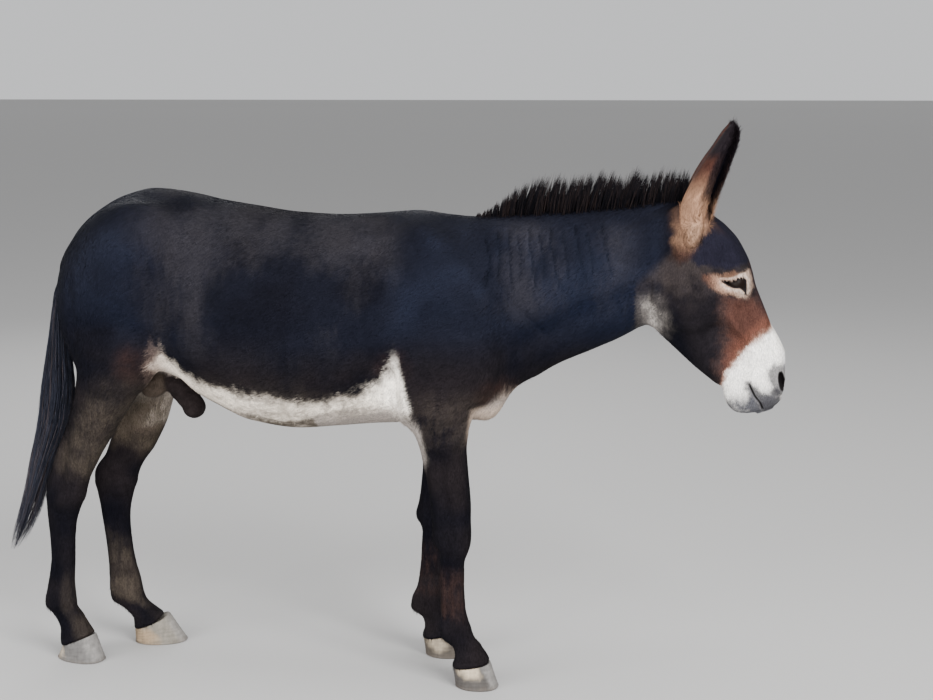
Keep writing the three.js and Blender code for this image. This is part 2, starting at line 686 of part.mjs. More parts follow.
// Like solidOfRings for a crescent: each end is closed by a strip between its outer and inner arc.
function solidOfStrip(rings) {
  const count = rings[0].length;
  const triangles = wallsBetween(rings);
  for (const [start, flip] of [[0, true], [(rings.length - 1) * count, false]]) {
    for (let i = 0; i < count / 2 - 1; i += 1) {
      const [a, b] = [start + i, start + i + 1];
      const [c, d] = [start + count - 1 - i, start + count - 2 - i];
      triangles.push(...(flip ? [a, c, d, a, d, b] : [a, d, c, a, b, d]));
    }
  }
  return solidFrom(rings.flat(2), triangles);
}

// The mane stands up from the crest: x, crest height, height of the hair's tips.
const MANE = [
  [-18, 1138, 1151], [22, 1140, 1180], [67, 1144, 1218], [127, 1148, 1236], [198, 1152, 1243],
  [269, 1158, 1248], [339, 1164, 1252], [400, 1170, 1260], [450, 1174, 1270], [488, 1168, 1262],
];
const MANE_SINK = 22;
const MANE_STEPS = 20;

function makeMane(body) {
  const at = curveThrough(MANE);
  const steps = MANE_STEPS;
  const rings = Array.from({ length: steps + 1 }, (_, i) => {
    const x = MANE[0][0] + ((MANE[MANE.length - 1][0] - MANE[0][0]) * i) / steps;
    const [, crest, tips] = at(x);
    const ragged = (i % 2 === 0 ? 5 : -3) * Math.min(1, (tips - crest) / 60);
    const lean = 0.16 * (tips - crest);
    const shoulder = crest + 0.6 * (tips - crest);
    return [
      [x, -15, crest - MANE_SINK], [x + 0.6 * lean, -10, shoulder], [x + lean, 0, tips + ragged],
      [x + 0.6 * lean, 10, shoulder], [x, 15, crest - MANE_SINK],
    ];
  });
  rings.forEach((ring) => ring.reverse());
  return solidOfRings(rings).subtract(body).translate([0, 0, SEAM]);
}

// The tail: height, x of its middle, half depth, half width.
const TAIL = [
  [1000, -1042, 22, 22], [965, -1062, 22, 24], [930, -1076, 20, 25], [890, -1082, 19, 26], [845, -1085, 23, 28],
  [800, -1088, 29, 33], [750, -1091, 36, 39], [694, -1095, 43, 43], [634, -1103, 44, 45], [573, -1119, 40, 43],
  [513, -1141, 34, 40], [452, -1159, 29, 37], [402, -1176, 27, 33], [361, -1190, 27, 29], [326, -1204, 25, 25],
  [296, -1218, 21, 18], [270, -1232, 13, 9], [258, -1238, 4, 4],
];
const TAIL_POINTS = 12;
const DOCK_END = 800;

function tailRing([z, x, depth, half]) {
  return Array.from({ length: TAIL_POINTS }, (_, i) => {
    const angle = (i / TAIL_POINTS) * Math.PI * 2;
    return [x + depth * Math.cos(angle), half * Math.sin(angle), z];
  });
}

function makeTail(body) {
  const rings = [...TAIL].reverse().map(tailRing);
  const whole = solidOfRings(rings).subtract(body).translate([-SEAM, 0, 0]);
  const above = block([-1400, -300, DOCK_END - SEAM / 2], [-900, 300, 1300]);
  const below = block([-1400, -300, 0], [-900, 300, DOCK_END + SEAM / 2]);
  return [whole.subtract(below), whole.subtract(above)];
}

// ---------------------------------------------------------------- sheath and scrotum

const SHEATH = [
  [-800, 775, 22], [-786, 740, 27], [-770, 708, 30], [-753, 682, 31], [-741, 658, 30], [-737, 640, 24], [-737, 627, 10],
];

function makeSheath(body, scrotum) {
  const rings = SHEATH.map(([x, z, radius], n) => {
    const lean = n < 4 ? 0.75 : 0.2;
    return Array.from({ length: 14 }, (_, i) => {
      const angle = (i / 14) * Math.PI * 2;
      const u = radius * Math.cos(angle);
      return [x + u, radius * 0.92 * Math.sin(angle), z + lean * u];
    });
  });
  rings.forEach((ring) => ring.reverse());
  return solidOfRings(rings).subtract(body).subtract(scrotum.translate([2 * SEAM, 0, SEAM])).translate([0, 0, -SEAM]);
}

function makeScrotum(body) {
  const left = pebble([-828, 20, 716], [38, 26, 40], 20, 8);
  const right = pebble([-830, -18, 712], [38, 26, 40], 20, 8);
  return left.add(right).subtract(body).translate([0, 0, -SEAM]);
}

// ---------------------------------------------------------------- the scene graph

const COATS = {
  dark: { color: 0x17161a, roughness: 0.5, metalness: 0 },
  face: { color: 0x3a2a22, roughness: 0.6, metalness: 0 },
  ear: { color: 0x7a5c48, roughness: 0.7, metalness: 0 },
  hair: { color: 0x0d0d10, roughness: 0.6, metalness: 0 },
  skin: { color: 0x1c1a1b, roughness: 0.45, metalness: 0 },
  hoof: { color: 0x8d8375, roughness: 0.6, metalness: 0 },
  eye: { color: 0x0b0807, roughness: 0.08, metalness: 0 },
};

const group = new THREE.Group();
group.position.x = FRAME_SHIFT_X;

function place(name, solid, coat) {
  const { vertProperties, triVerts } = solid.getMesh();
  const geometry = new THREE.BufferGeometry();
  geometry.setAttribute('position', new THREE.BufferAttribute(new Float32Array(vertProperties), 3));
  geometry.setIndex(new THREE.BufferAttribute(new Uint32Array(triVerts), 1));
  geometry.computeVertexNormals();
  const mesh = new THREE.Mesh(geometry, new THREE.MeshStandardMaterial(COATS[coat]));
  mesh.name = name;
  group.add(mesh);
}

const trunk = makeTrunk();
const neck = makeNeck();
const skull = makeHead();
const flesh = trunk.add(makeNeck(2)).add(skull);

place('trunk', trunk, 'dark');
place('neck', neck, 'dark');
place('head', skull, 'face');
for (const [name, side] of [['left', 1], ['right', -1]]) {
  place(`eye_${name}`, eyeball(side, EYE_RADIUS), 'eye');
  place(`ear_${name}`, makeEar(side, flesh), 'ear');
}
for (const name of Object.keys(PATHS)) {
  const [upper, lower] = makeLeg(name);
  place(`${name}_upper_leg`, upper, 'dark');
  place(`${name}_lower_leg`, lower, 'dark');
  place(`${name}_hoof`, makeHoof(name), 'hoof');
}
const [dock, switchHair] = makeTail(trunk);
place('tail_dock', dock, 'hair');
place('tail_switch', switchHair, 'hair');
place('mane', makeMane(flesh), 'hair');
const scrotum = makeScrotum(trunk);
place('sheath', makeSheath(trunk, scrotum), 'skin');
place('scrotum', scrotum, 'skin');

export default group;
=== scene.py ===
# A life-size donkey, a dark brown-black jack with a pale muzzle, eye rings and belly.
#
# One skin, meshed from the same smooth field as the solids, carries the forms of the flesh. The coat is
# laid over it as thin slivers of hair that follow its lie. Markings, with painted sky sheen and painted
# shade among them, are functions of place and facing, shared by skin and coat. Tables are in millimetres
# with x from the near fore toe; MM and FRAME_SHIFT_X turn them to metres.

import math

import bmesh
import bpy
import numpy as np
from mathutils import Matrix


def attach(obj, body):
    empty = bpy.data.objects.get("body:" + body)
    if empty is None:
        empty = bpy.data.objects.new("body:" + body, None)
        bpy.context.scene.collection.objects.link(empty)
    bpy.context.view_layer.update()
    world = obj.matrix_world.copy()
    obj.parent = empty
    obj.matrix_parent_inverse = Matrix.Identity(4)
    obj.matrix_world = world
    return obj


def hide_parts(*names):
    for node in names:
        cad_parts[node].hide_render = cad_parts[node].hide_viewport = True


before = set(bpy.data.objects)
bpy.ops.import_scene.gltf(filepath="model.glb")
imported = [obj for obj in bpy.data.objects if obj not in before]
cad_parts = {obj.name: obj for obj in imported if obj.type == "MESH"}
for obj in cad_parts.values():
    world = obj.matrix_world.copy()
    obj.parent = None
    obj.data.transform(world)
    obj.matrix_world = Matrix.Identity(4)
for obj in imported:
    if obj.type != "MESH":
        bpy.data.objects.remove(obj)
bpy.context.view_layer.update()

import openvdb
from mathutils import Vector

MM = 0.001
FRAME_SHIFT_X = 265.0
DETAIL = 1.0


# ------------------------------------------------------------------ tables shared with the solids

HEAD_TILT = -64.0
POLL = (460.0, 1168.0)
TORSO = [
    [-1068, 985, 950, 14, 0.5, 2.0], [-1060, 1016, 932, 32, 0.5, 2.0], [-1040, 1063, 896, 62, 0.5, 2.0],
    [-1008, 1112, 836, 92, 0.5, 2.0], [-960, 1152, 768, 128, 0.5, 2.0], [-890, 1189, 752, 162, 0.52, 2.1],
    [-820, 1205, 747, 184, 0.52, 2.1], [-756, 1199, 730, 192, 0.5, 2.2], [-705, 1190, 691, 199, 0.49, 2.2],
    [-662, 1180, 669, 206, 0.48, 2.2],
    [-568, 1165, 630, 217, 0.46, 2.2], [-458, 1150, 616, 219, 0.46, 2.2], [-356, 1146, 623, 207, 0.46, 2.1],
    [-256, 1151, 631, 184, 0.46, 2.0], [-165, 1158, 634, 160, 0.46, 1.95], [-90, 1150, 634, 142, 0.46, 1.95],
    [-28, 1145, 646, 128, 0.45, 1.95], [38, 1149, 692, 111, 0.45, 1.95], [102, 1155, 738, 96, 0.45, 1.95],
    [178, 1160, 787, 85, 0.46, 1.95], [258, 1168, 823, 77, 0.47, 2.0], [338, 1176, 861, 72, 0.48, 2.0],
    [410, 1182, 911, 66, 0.5, 2.0], [455, 1174, 966, 54, 0.5, 2.0], [480, 1138, 1037, 24, 0.5, 2.0],
]
HEAD = [
    [-22, 10, -60, 18, 0.5, 2.0], [0, 36, -110, 50, 0.55, 2.1], [40, 58, -150, 68, 0.6, 2.2],
    [85, 80, -172, 78, 0.66, 2.2], [130, 92, -184, 85, 0.7, 2.2], [170, 94, -188, 88, 0.72, 2.2],
    [207, 90, -183, 84, 0.73, 2.2], [247, 81, -173, 74, 0.72, 2.3], [292, 76, -157, 61, 0.68, 2.3],
    [333, 74, -139, 51, 0.62, 2.4], [368, 80, -123, 45, 0.6, 2.4], [403, 81, -106, 45, 0.58, 2.4],
    [433, 72, -93, 47, 0.56, 2.4], [462, 58, -92, 46, 0.55, 2.4], [488, 40, -84, 41, 0.54, 2.3],
    [508, 20, -66, 31, 0.54, 2.2], [522, -4, -42, 14, 0.5, 2.0],
]
FORELEG = [
    [855, 40, 26], [795, 66, 46], [735, 76, 55], [685, 77, 54], [640, 66, 48], [593, 56, 43],
    [543, 51, 39], [492, 48, 36], [442, 49, 35], [402, 48, 36], [361, 42, 34], [326, 31, 28],
    [291, 32, 24], [242, 31, 22], [199, 32, 23], [170, 34, 26], [146, 37, 28], [125, 38, 27],
    [103, 39, 27], [78, 46, 32], [48, 50, 38],
]
HINDLEG = [
    [896, 60, 36], [845, 84, 62], [795, 92, 70], [744, 88, 68], [694, 80, 61], [654, 71, 54],
    [613, 67, 47], [573, 65, 41], [528, 62, 37], [482, 56, 34], [437, 57, 33], [407, 49, 31],
    [361, 40, 27], [311, 36, 23], [262, 35, 22], [214, 37, 23], [170, 42, 27], [141, 43, 29],
    [115, 42, 28], [91, 44, 30], [50, 51, 38],
]
PATHS = {
    "fore_right": [
        [855, -99, -104, 0], [734, -102, -116, 0], [641, -91, -117, 0], [543, -83, -113, 0],
        [442, -70, -109, 0], [361, -67, -107, 0], [291, -68, -105, 0], [199, -65, -105, 0],
        [146, -56, -105, 0], [125, -50, -105, 0], [103, -33, -105, 0], [50, -19, -105, 0],
    ],
    "fore_left": [
        [855, -101, 104, 0], [734, -112, 116, 0], [641, -116, 115, 0], [543, -125, 110, 0],
        [442, -131, 105, 0], [361, -144, 101, 0], [291, -146, 98, 0], [199, -154, 95, 0],
        [146, -162, 94, 0], [125, -160, 94, 0], [103, -142, 94, 0], [50, -126, 94, 0],
    ],
    "hind_right": [
        [896, -895, -118, 0], [795, -900, -116, 0], [694, -930, -104, -4], [613, -974, -92, -9],
        [528, -1021, -82, -15], [437, -1055, -73, -15], [361, -1071, -67, -15], [262, -1076, -62, -15],
        [170, -1086, -60, -15], [141, -1086, -60, -15], [115, -1068, -61, -15], [50, -1043, -64, -15],
    ],
    "hind_left": [
        [896, -890, 118, 0], [795, -888, 116, 0], [694, -894, 107, 4], [613, -906, 98, 9],
        [528, -939, 91, 15], [437, -983, 84, 15], [361, -986, 80, 15], [262, -978, 76, 15],
        [170, -966, 74, 15], [141, -962, 74, 15], [115, -953, 75, 15], [50, -896, 79, 15],
    ],
}
MUSCLES = {
    "shoulder_blade": [-80, 86, 951, 82, 62, 185, -26, 70],
    "upper_arm": [-66, 122, 785, 98, 50, 92, 0, 60],
    "elbow": [-155, 112, 730, 50, 44, 84, 10, 50],
    "breast": [-4, 52, 740, 52, 52, 84, -14, 50],
    "hip_point": [-810, 138, 1115, 70, 32, 50, 0, 70],
    "haunch": [-905, 108, 961, 122, 74, 180, 14, 80],
    "stifle": [-852, 126, 795, 50, 42, 78, -10, 60],
    "buttock": [-960, 78, 900, 56, 60, 135, 6, 60],
}
HOOVES = {
    "fore_right": {"x": -19, "y": -105, "turn": 0, "length": 104, "slide": 13},
    "fore_left": {"x": -126, "y": 94, "turn": 0, "length": 104, "slide": 13},
    "hind_right": {"x": -1045, "y": -64, "turn": -15, "length": 132, "slide": 7},
    "hind_left": {"x": -893, "y": 80, "turn": 15, "length": 134, "slide": 18},
}
CORONETS = {                       # height of the hoof's upper rim at the quarters, and its slope
    "fore_right": (56, 0.18), "fore_left": (54, 0.20), "hind_right": (51, 0.43), "hind_left": (57, 0.40),
}
EAR = [
    [486, 1092, 40, 31, 60], [487, 1125, 45, 36, 62], [494, 1160, 46, 39, 66], [506, 1200, 46, 40, 76],
    [524, 1245, 44, 38, 84], [542, 1285, 38, 34, 92], [559, 1318, 31, 27, 98], [569, 1345, 22, 19, 100],
    [573, 1360, 11, 10, 100], [574, 1366, 5, 5, 100],
]
EAR_TURN = -38
EAR_BASE_Y = 52
EAR_SPREAD = 0.07
MANE = [
    [-18, 1138, 1151], [22, 1140, 1180], [67, 1144, 1218], [127, 1148, 1236], [198, 1152, 1243],
    [269, 1158, 1248], [339, 1164, 1252], [400, 1170, 1260], [450, 1174, 1270], [488, 1168, 1262],
]
TAIL = [
    [1000, -1042, 22, 22], [965, -1062, 22, 24], [930, -1076, 20, 25], [890, -1082, 19, 26],
    [845, -1085, 23, 28], [800, -1088, 29, 33], [750, -1091, 36, 39], [694, -1095, 43, 43],
    [634, -1103, 44, 45], [573, -1119, 40, 43], [513, -1141, 34, 40], [452, -1159, 29, 37],
    [402, -1176, 27, 33], [361, -1190, 27, 29], [326, -1204, 25, 25], [296, -1218, 21, 18],
    [270, -1232, 13, 9], [258, -1238, 4, 4],
]
SHEATH = [
    (-806, 748, 24), (-790, 719, 27), (-766, 692, 28), (-744, 668, 28), (-738, 655, 29),
]
SHEATH_FOLDS = [[(-796, 690), (-728, 706)], [(-780, 672), (-716, 682)], [(-806, 716), (-760, 744)]]
SCROTUM = [[-828, 20, 718, 42, 27, 31, -37], [-830, -18, 714, 42, 27, 31, -37]]
EYE = (209.0, 44.0, 60.0)         # down the head, towards the face, out to the side
EYE_RADIUS = 24.0
MID_BODY = -400.0                 # between the fore and the hind legs


# ------------------------------------------------------------------ curves, lofts and soft joins

def smoothstep(low, high, value):
    t = np.clip((value - low) / (high - low), 0, 1)
    return t * t * (3 - 2 * t)


def curve(table):
    """A smooth curve through rows sorted by their first column, free of overshoot."""
    rows = np.array(sorted(table), float)
    rise = np.diff(rows, axis=0) / np.diff(rows[:, :1], axis=0)
    before, after = rise[:-1], rise[1:]
    total = np.where(before + after == 0, 1, before + after)
    slope = np.zeros_like(rows)
    slope[1:-1] = np.where(before * after > 0, 2 * before * after / total, 0)

    def at(s):
        place = np.clip(s, rows[0, 0], rows[-1, 0])
        i = np.clip(np.searchsorted(rows[:, 0], place) - 1, 0, len(rows) - 2)
        step = rows[i + 1, 0] - rows[i, 0]
        t = (place - rows[i, 0]) / step
        ease = t * t * (3 - 2 * t)
        leave = t * (1 - t) ** 2 * step
        arrive = t * t * (t - 1) * step
        return [
            rows[i, c] + (rows[i + 1, c] - rows[i, c]) * ease + slope[i, c] * leave + slope[i + 1, c] * arrive
            for c in range(rows.shape[1])
        ]
    return at


def slice_distance(cut, v, y):
    """Distance across a rounded slice: centre, up, down, half width, squareness, side and turn."""
    centre, up, down, half, power, side, turn = cut
    dv = (v - centre) * np.cos(turn) + (y - side) * np.sin(turn)
    dw = (y - side) * np.cos(turn) - (v - centre) * np.sin(turn)
    reach = np.where(dv > 0, up, down)
    share = (np.abs(dv / reach) ** power + np.abs(dw / half) ** power) ** (1 / power)
    return np.hypot(dv, dw) * (1 - 1 / np.maximum(share, 1e-4)) - np.where(share < 1e-4, half, 0)


def loft(origin, tilt, first, last, cut):
    """A stack of slices that stand across a line in the x-z plane."""
    cos, sin = math.cos(math.radians(tilt)), math.sin(math.radians(tilt))
    step = 4.0

    def distance(x, y, z):
        dx, dz = x - origin[0], z - origin[1]
        s, v = dx * cos + dz * sin, dz * cos - dx * sin
        inside = np.clip(s, first, last)
        here = slice_distance(cut(inside), v, y)
        ahead, behind = (slice_distance(cut(inside + d), v, y) for d in (step, -step))
        across = here / np.hypot(1, (ahead - behind) / (2 * step))
        return np.where(s == inside, across, np.maximum(across, np.abs(s - inside)))
    return distance


def body_loft(origin, tilt, rows):
    at = curve(rows)

    def cut(s):
        _, top, bottom, half, middle, power = at(s)
        centre = bottom + (top - bottom) * middle
        return centre, top - centre, centre - bottom, half, power, 0.0, 0.0
    return loft(origin, tilt, min(rows)[0], max(rows)[0], cut)


def leg_loft(shape, path):
    size, place = curve(shape), curve(path)

    def cut(s):
        _, depth, half = size(s)
        _, x, y, turn = place(s)
        return -x, depth, depth, half, 2.2, y, -np.radians(turn)
    return loft((0, 0), 90, min(shape)[0], max(shape)[0], cut)


def tube_loft(rows):
    """Oval slices stacked upwards: height, x, depth and half width."""
    at = curve(rows)

    def cut(s):
        _, x, depth, half = at(s)
        return -x, depth, depth, half, 2.0, 0.0, 0.0
    return loft((0, 0), 90, min(rows)[0], max(rows)[0], cut)


def bent_tube(rows, x, y, z):
    """Distance to a tube along the middle plane: rows of x, z and radius."""
    nearest = np.full(np.shape(x), 1e9)
    for (x0, z0, r0), (x1, z1, r1) in zip(rows, rows[1:]):
        along = np.array([x1 - x0, z1 - z0], float)
        t = np.clip(((x - x0) * along[0] + (z - z0) * along[1]) / along.dot(along), 0, 1)
        out = np.sqrt((x - x0 - t * along[0]) ** 2 + y ** 2 + (z - z0 - t * along[1]) ** 2)
        nearest = np.minimum(nearest, out - r0 - (r1 - r0) * t)
    return nearest


def ellipsoid(form, u, v, w):
    """Distance to an ellipsoid given as middle (u, v, w), radii and a lean in the u-w plane."""
    mu, mv, mw, ru, rv, rw, lean = form[:7]
    cos, sin = math.cos(math.radians(lean)), math.sin(math.radians(lean))
    pu = (u - mu) * cos - (w - mw) * sin
    pw = (u - mu) * sin + (w - mw) * cos
    pv = v - mv
    share = np.sqrt((pu / ru) ** 2 + (pv / rv) ** 2 + (pw / rw) ** 2)
    steep = np.sqrt((pu / ru ** 2) ** 2 + (pv / rv ** 2) ** 2 + (pw / rw ** 2) ** 2)
    return share * (share - 1) / np.maximum(steep, 1e-6)


def melt(a, b, softness):
    near = np.maximum(softness - np.abs(a - b), 0) / softness
    return np.minimum(a, b) - near * near * softness / 4


def scoop(a, b, softness):
    """Takes the form b out of a, with a rounded rim."""
    return -melt(-a, b, softness)


def groove(points, u, w):
    """Distance to a bent line in the u-w plane."""
    nearest = np.full(np.shape(u), 1e9)
    for (u0, w0), (u1, w1) in zip(points, points[1:]):
        along = np.array([u1 - u0, w1 - w0], float)
        t = np.clip(((u - u0) * along[0] + (w - w0) * along[1]) / along.dot(along), 0, 1)
        nearest = np.minimum(nearest, np.hypot(u - u0 - t * along[0], w - w0 - t * along[1]))
    return nearest


def outline_distance(points, u, w):
    """Signed distance to a closed outline in the u-w plane: below zero inside."""
    inside = np.zeros(np.shape(u), bool)
    closed = points + points[:1]
    for (u0, w0), (u1, w1) in zip(closed, closed[1:]):
        if w0 != w1:
            inside ^= ((w0 > w) != (w1 > w)) & (u < (u1 - u0) * (w - w0) / (w1 - w0) + u0)
    return np.where(inside, -1, 1) * groove(closed, u, w)


# ------------------------------------------------------------------ forms that only the skin has

# In the head's frame: down, out to the side, towards the face, three radii, lean, softness.
HEAD_SWELLS = {
    "cheek": (180, 58, -70, 88, 30, 78, 0, 26),
    "cheek_ridge": (280, 52, 4, 62, 10, 10, -6, 26),
    "brow": (179, 66, 46, 9, 12, 32, 20, 16),
    "nostril_rim": (464, 28, 38, 30, 11, 15, 15, 14),
    "upper_lip": (492, 0, -2, 26, 36, 30, 0, 22),
    "chin": (470, 0, -64, 30, 30, 26, 12, 20),
    "nose_bone": (300, 22, 62, 90, 12, 14, 2, 18),
    "ear_root": (34, 56, 14, 40, 25, 42, 0, 34),
}
HEAD_HOLLOWS = {
    "above_eye": (146, 84, 46, 24, 12, 15, 20, 22),
    "beside_nose": (330, 64, 36, 56, 16, 14, -4, 34),
    "below_cheek": (352, 62, -40, 58, 18, 30, -8, 40),
    "jaw_channel": (300, 0, -178, 70, 18, 20, -18, 24),
    "chin_groove": (432, 0, -100, 10, 30, 8, 0, 12),
}
# In the body's frame: x, out to the side, z, three radii, lean, softness.
BODY_SWELLS = {
    "dock_root": (-1020, 0, 1010, 34, 34, 50, 30, 40),
    "flank_fold": (-798, 152, 816, 18, 15, 36, 26, 36),
    "forearm": (-88, 138, 668, 44, 22, 64, 0, 40),
}
BODY_HOLLOWS = {
    "flank": (-716, 214, 1010, 74, 26, 66, 0, 70),
    "behind_elbow": (-232, 178, 740, 34, 22, 70, 12, 50),
    "throat_channel": (236, 84, 905, 150, 16, 22, -24, 34),
    "breast_middle": (66, 0, 730, 26, 12, 90, 24, 26),
    "buttock_middle": (-1052, 0, 850, 30, 12, 110, 0, 26),
}
# In a leg's frame: forwards, outwards, z, three radii, lean, softness. Inner and outer side alike.
LEG_SWELLS = {
    "fore": {
        "knee_front": (24, 14, 366, 15, 15, 42, 0, 20),
        "knee_back": (-36, 6, 376, 10, 9, 18, 0, 12),
        "fetlock_back": (-26, 11, 144, 12, 10, 24, 0, 12),
        "ergot": (-33, 0, 120, 12, 11, 18, 0, 14),
        "extensor": (26, 14, 520, 22, 18, 90, 3, 24),
    },
    "hind": {
        "hock_side": (10, 24, 424, 18, 12, 24, 0, 14),
        "hock_point": (-46, 2, 474, 13, 12, 24, 0, 14),
        "fetlock_back": (-28, 11, 146, 12, 10, 24, 0, 12),
        "ergot": (-36, 0, 116, 12, 11, 18, 0, 14),
    },
}
LEG_HOLLOWS = {
    "fore": {
        "tendon": (-9, 27, 246, 5, 8, 72, 0, 12),
        "forearm_split": (-6, 46, 480, 7, 10, 90, 0, 22),
        "pastern_back": (-46, 0, 84, 12, 20, 18, 20, 16),
        "knee_side": (-16, 40, 384, 8, 9, 26, 0, 14),
    },
    "hind": {
        "tendon": (-12, 28, 270, 6, 8, 84, 0, 12),
        "above_hock": (-26, 40, 540, 12, 18, 70, -14, 26),
        "pastern_back": (-48, 0, 84, 12, 20, 18, 20, 16),
    },
}
# Folds of the skin as bent lines seen from the side: points, width, depth.
HEAD_FOLDS = {
    "mouth": ([(443, -27), (472, -27), (496, -22), (512, -23)], 2.4, 5.5),
    "mouth_corner": ([(443, -27), (436, -36)], 3.0, 1.6),
    "lip_rim": ([(436, -14), (462, -16), (486, -14)], 7.0, -1.0),
    "under_eye": ([(204, 18), (217, 31), (232, 44), (246, 54)], 3.0, 1.3),
    "eye_bag": ([(194, 0), (212, 12), (236, 34)], 4.0, 0.9),
    "lid_edge": ([(187, 20), (195, 44), (197, 62), (206, 71)], 3.6, -1.8),
    "over_eye": ([(178, 18), (187, 40), (188, 60), (192, 76)], 3.0, 1.8),
    "jowl": ([(100, -100), (150, -150), (205, -178)], 12.0, 3.5),
    "nose_wrinkle": ([(428, 12), (452, 12), (478, 8)], 3.4, 1.7),
    "nose_wrinkle_b": ([(430, 30), (448, 22), (474, 22), (486, 14)], 3.2, 1.5),
    "muzzle_vein": ([(300, 30), (340, 14), (372, 0), (404, -6)], 3.5, -1.1),
    "face_vein": ([(250, -20), (300, -30), (340, -52), (372, -90)], 4.0, -1.4),
}
BODY_FOLDS = {
    "shoulder_front": ([(24, 1010), (70, 952), (116, 905), (150, 868)], 10.0, 5.0),
    "shoulder_back": ([(-196, 1010), (-236, 900), (-232, 800), (-205, 716)], 22.0, 4.0),
    "arm_crease": ([(-30, 880), (-20, 800), (-38, 720)], 14.0, 3.0),
    "elbow_crease": ([(-206, 800), (-196, 720), (-170, 660)], 8.0, 5.0),
    "thigh_front": ([(-745, 1010), (-770, 900), (-792, 815)], 20.0, 4.0),
    "thigh_split": ([(-985, 980), (-975, 880), (-985, 780), (-1000, 700)], 12.0, 3.0),
    "gaskin_split": ([(-925, 700), (-960, 610), (-1000, 540)], 9.0, 2.4),
    "neck_wrinkle_a": ([(8, 1096), (22, 1050), (16, 990)], 4.0, 1.6),
    "neck_wrinkle_b": ([(36, 1108), (46, 1056), (40, 996)], 4.2, 2.4),
    "neck_wrinkle_c": ([(62, 1112), (68, 1064), (76, 978)], 3.6, 2.6),
    "neck_wrinkle_d": ([(84, 1100), (96, 1050), (94, 1006)], 3.8, 1.9),
    "neck_wrinkle_e": ([(110, 1118), (116, 1066), (130, 984)], 3.6, 2.8),
    "neck_wrinkle_f": ([(134, 1104), (146, 1060), (146, 1014)], 3.6, 1.8),
    "neck_wrinkle_g": ([(160, 1120), (166, 1070), (184, 990)], 3.8, 2.6),
    "neck_wrinkle_h": ([(188, 1110), (198, 1066), (204, 1010)], 3.6, 1.9),
    "neck_wrinkle_i": ([(218, 1122), (226, 1074), (246, 1000)], 4.0, 2.4),
    "neck_wrinkle_j": ([(246, 1108), (256, 1070), (262, 1022)], 3.8, 1.5),
    "neck_wrinkle_k": ([(280, 1124), (290, 1076), (308, 1016)], 4.4, 1.8),
    "belly_ridge": (
        [(-593, 675), (-529, 668), (-472, 650), (-439, 654), (-380, 678), (-330, 695)], 6.0, -2.6),
    "belly_crease": ([(-580, 664), (-525, 657), (-472, 638), (-436, 643), (-384, 664)], 7.0, 2.4),
    "flank_crease": ([(-792, 880), (-786, 830), (-768, 790)], 5.0, 2.6),
    "flank_crease_b": ([(-778, 850), (-770, 812)], 4.0, 2.0),
    "arm_wrinkle_a": ([(-60, 716), (-20, 722)], 4.0, 1.6),
    "arm_wrinkle_b": ([(-74, 690), (-16, 700)], 4.0, 1.8),
    "arm_wrinkle_c": ([(-80, 664), (-22, 672)], 4.0, 1.6),
    "arm_wrinkle_d": ([(-84, 640), (-28, 646)], 4.0, 1.2),
}

HEAD_COS, HEAD_SIN = math.cos(math.radians(HEAD_TILT)), math.sin(math.radians(HEAD_TILT))

torso = body_loft((0, 0), 0, TORSO)
head = body_loft(POLL, HEAD_TILT, HEAD)
UNDER_CORONET = [24, 50, 38]       # the flesh of a leg runs on inside its hoof
legs = {
    name: leg_loft((FORELEG if name.startswith("fore") else HINDLEG) + [UNDER_CORONET], path)
    for name, path in PATHS.items()
}
leg_paths = {name: curve(path) for name, path in PATHS.items()}
dock = tube_loft([row for row in TAIL if row[0] >= 750] + [[700, -1100, 16, 16], [640, -1108, 7, 7]])


def head_frame(x, z):
    """Distance down the head's axis from the poll, and distance from it towards the face."""
    dx, dz = x - POLL[0], z - POLL[1]
    return dx * HEAD_COS + dz * HEAD_SIN, dz * HEAD_COS - dx * HEAD_SIN


def on_head(down, front, y):
    """A point given in the head's frame, in the tables' millimetres."""
    dx, dz = down * HEAD_COS - front * HEAD_SIN, down * HEAD_SIN + front * HEAD_COS
    return np.array([POLL[0] + dx, y, POLL[1] + dz])


def leg_frame(name, x, y, z):
    """Forwards and outwards from a leg's middle line, turned as the leg is."""
    _, px, py, turn = leg_paths[name](z)
    angle = np.radians(turn)
    dx, dy = x - px, y - py
    side = 1 if name.endswith("left") else -1
    return dx * np.cos(angle) + dy * np.sin(angle), side * (dy * np.cos(angle) - dx * np.sin(angle))


def beside(name, x, y, past_middle=0.0):
    """Whether points lie in a leg's own quarter of the body."""
    own_side = y > -past_middle if name.endswith("left") else y < past_middle
    return own_side & (x > MID_BODY if name.startswith("fore") else x < MID_BODY)


def coronet_height(name, u):
    """Height of the hair's lower border over the hoof, at u forwards from the leg's middle."""
    middle, slope = CORONETS[name]
    return middle + slope * np.clip(u, -52, 52)


def within(d, mask, change):
    """Changes d only where the mask holds."""
    if mask.any():
        d[mask] = change(d[mask], mask)
    return d


def flesh_distance(x, y, z):
    """The field of the solids, with the dock, sheath and scrotum melted in."""
    d = torso(x, y, z)
    within(d, x > 250, lambda own, m: melt(own, head(x[m], y[m], z[m]), 36))
    for mx, my, mz, rx, ry, rz, lean, softness in MUSCLES.values():
        form = (mx, my, mz, rx, ry, rz, lean)
        near = np.abs(x - mx) < 400
        within(d, near, lambda own, m: melt(own, ellipsoid(form, x[m], np.abs(y[m]), z[m]), softness))
    for name, leg in legs.items():
        own_leg = beside(name, x, y, past_middle=60) & (z < 1000)
        within(d, own_leg, lambda own, m: melt(own, leg(x[m], y[m], z[m]), 34))
    within(d, x < -950, lambda own, m: melt(own, dock(x[m], y[m], z[m]), 14))
    groin = (np.abs(x + 780) < 120) & (z < 800)
    return within(d, groin, lambda own, m: melt(own, groin_distance(x[m], y[m], z[m]), 8))


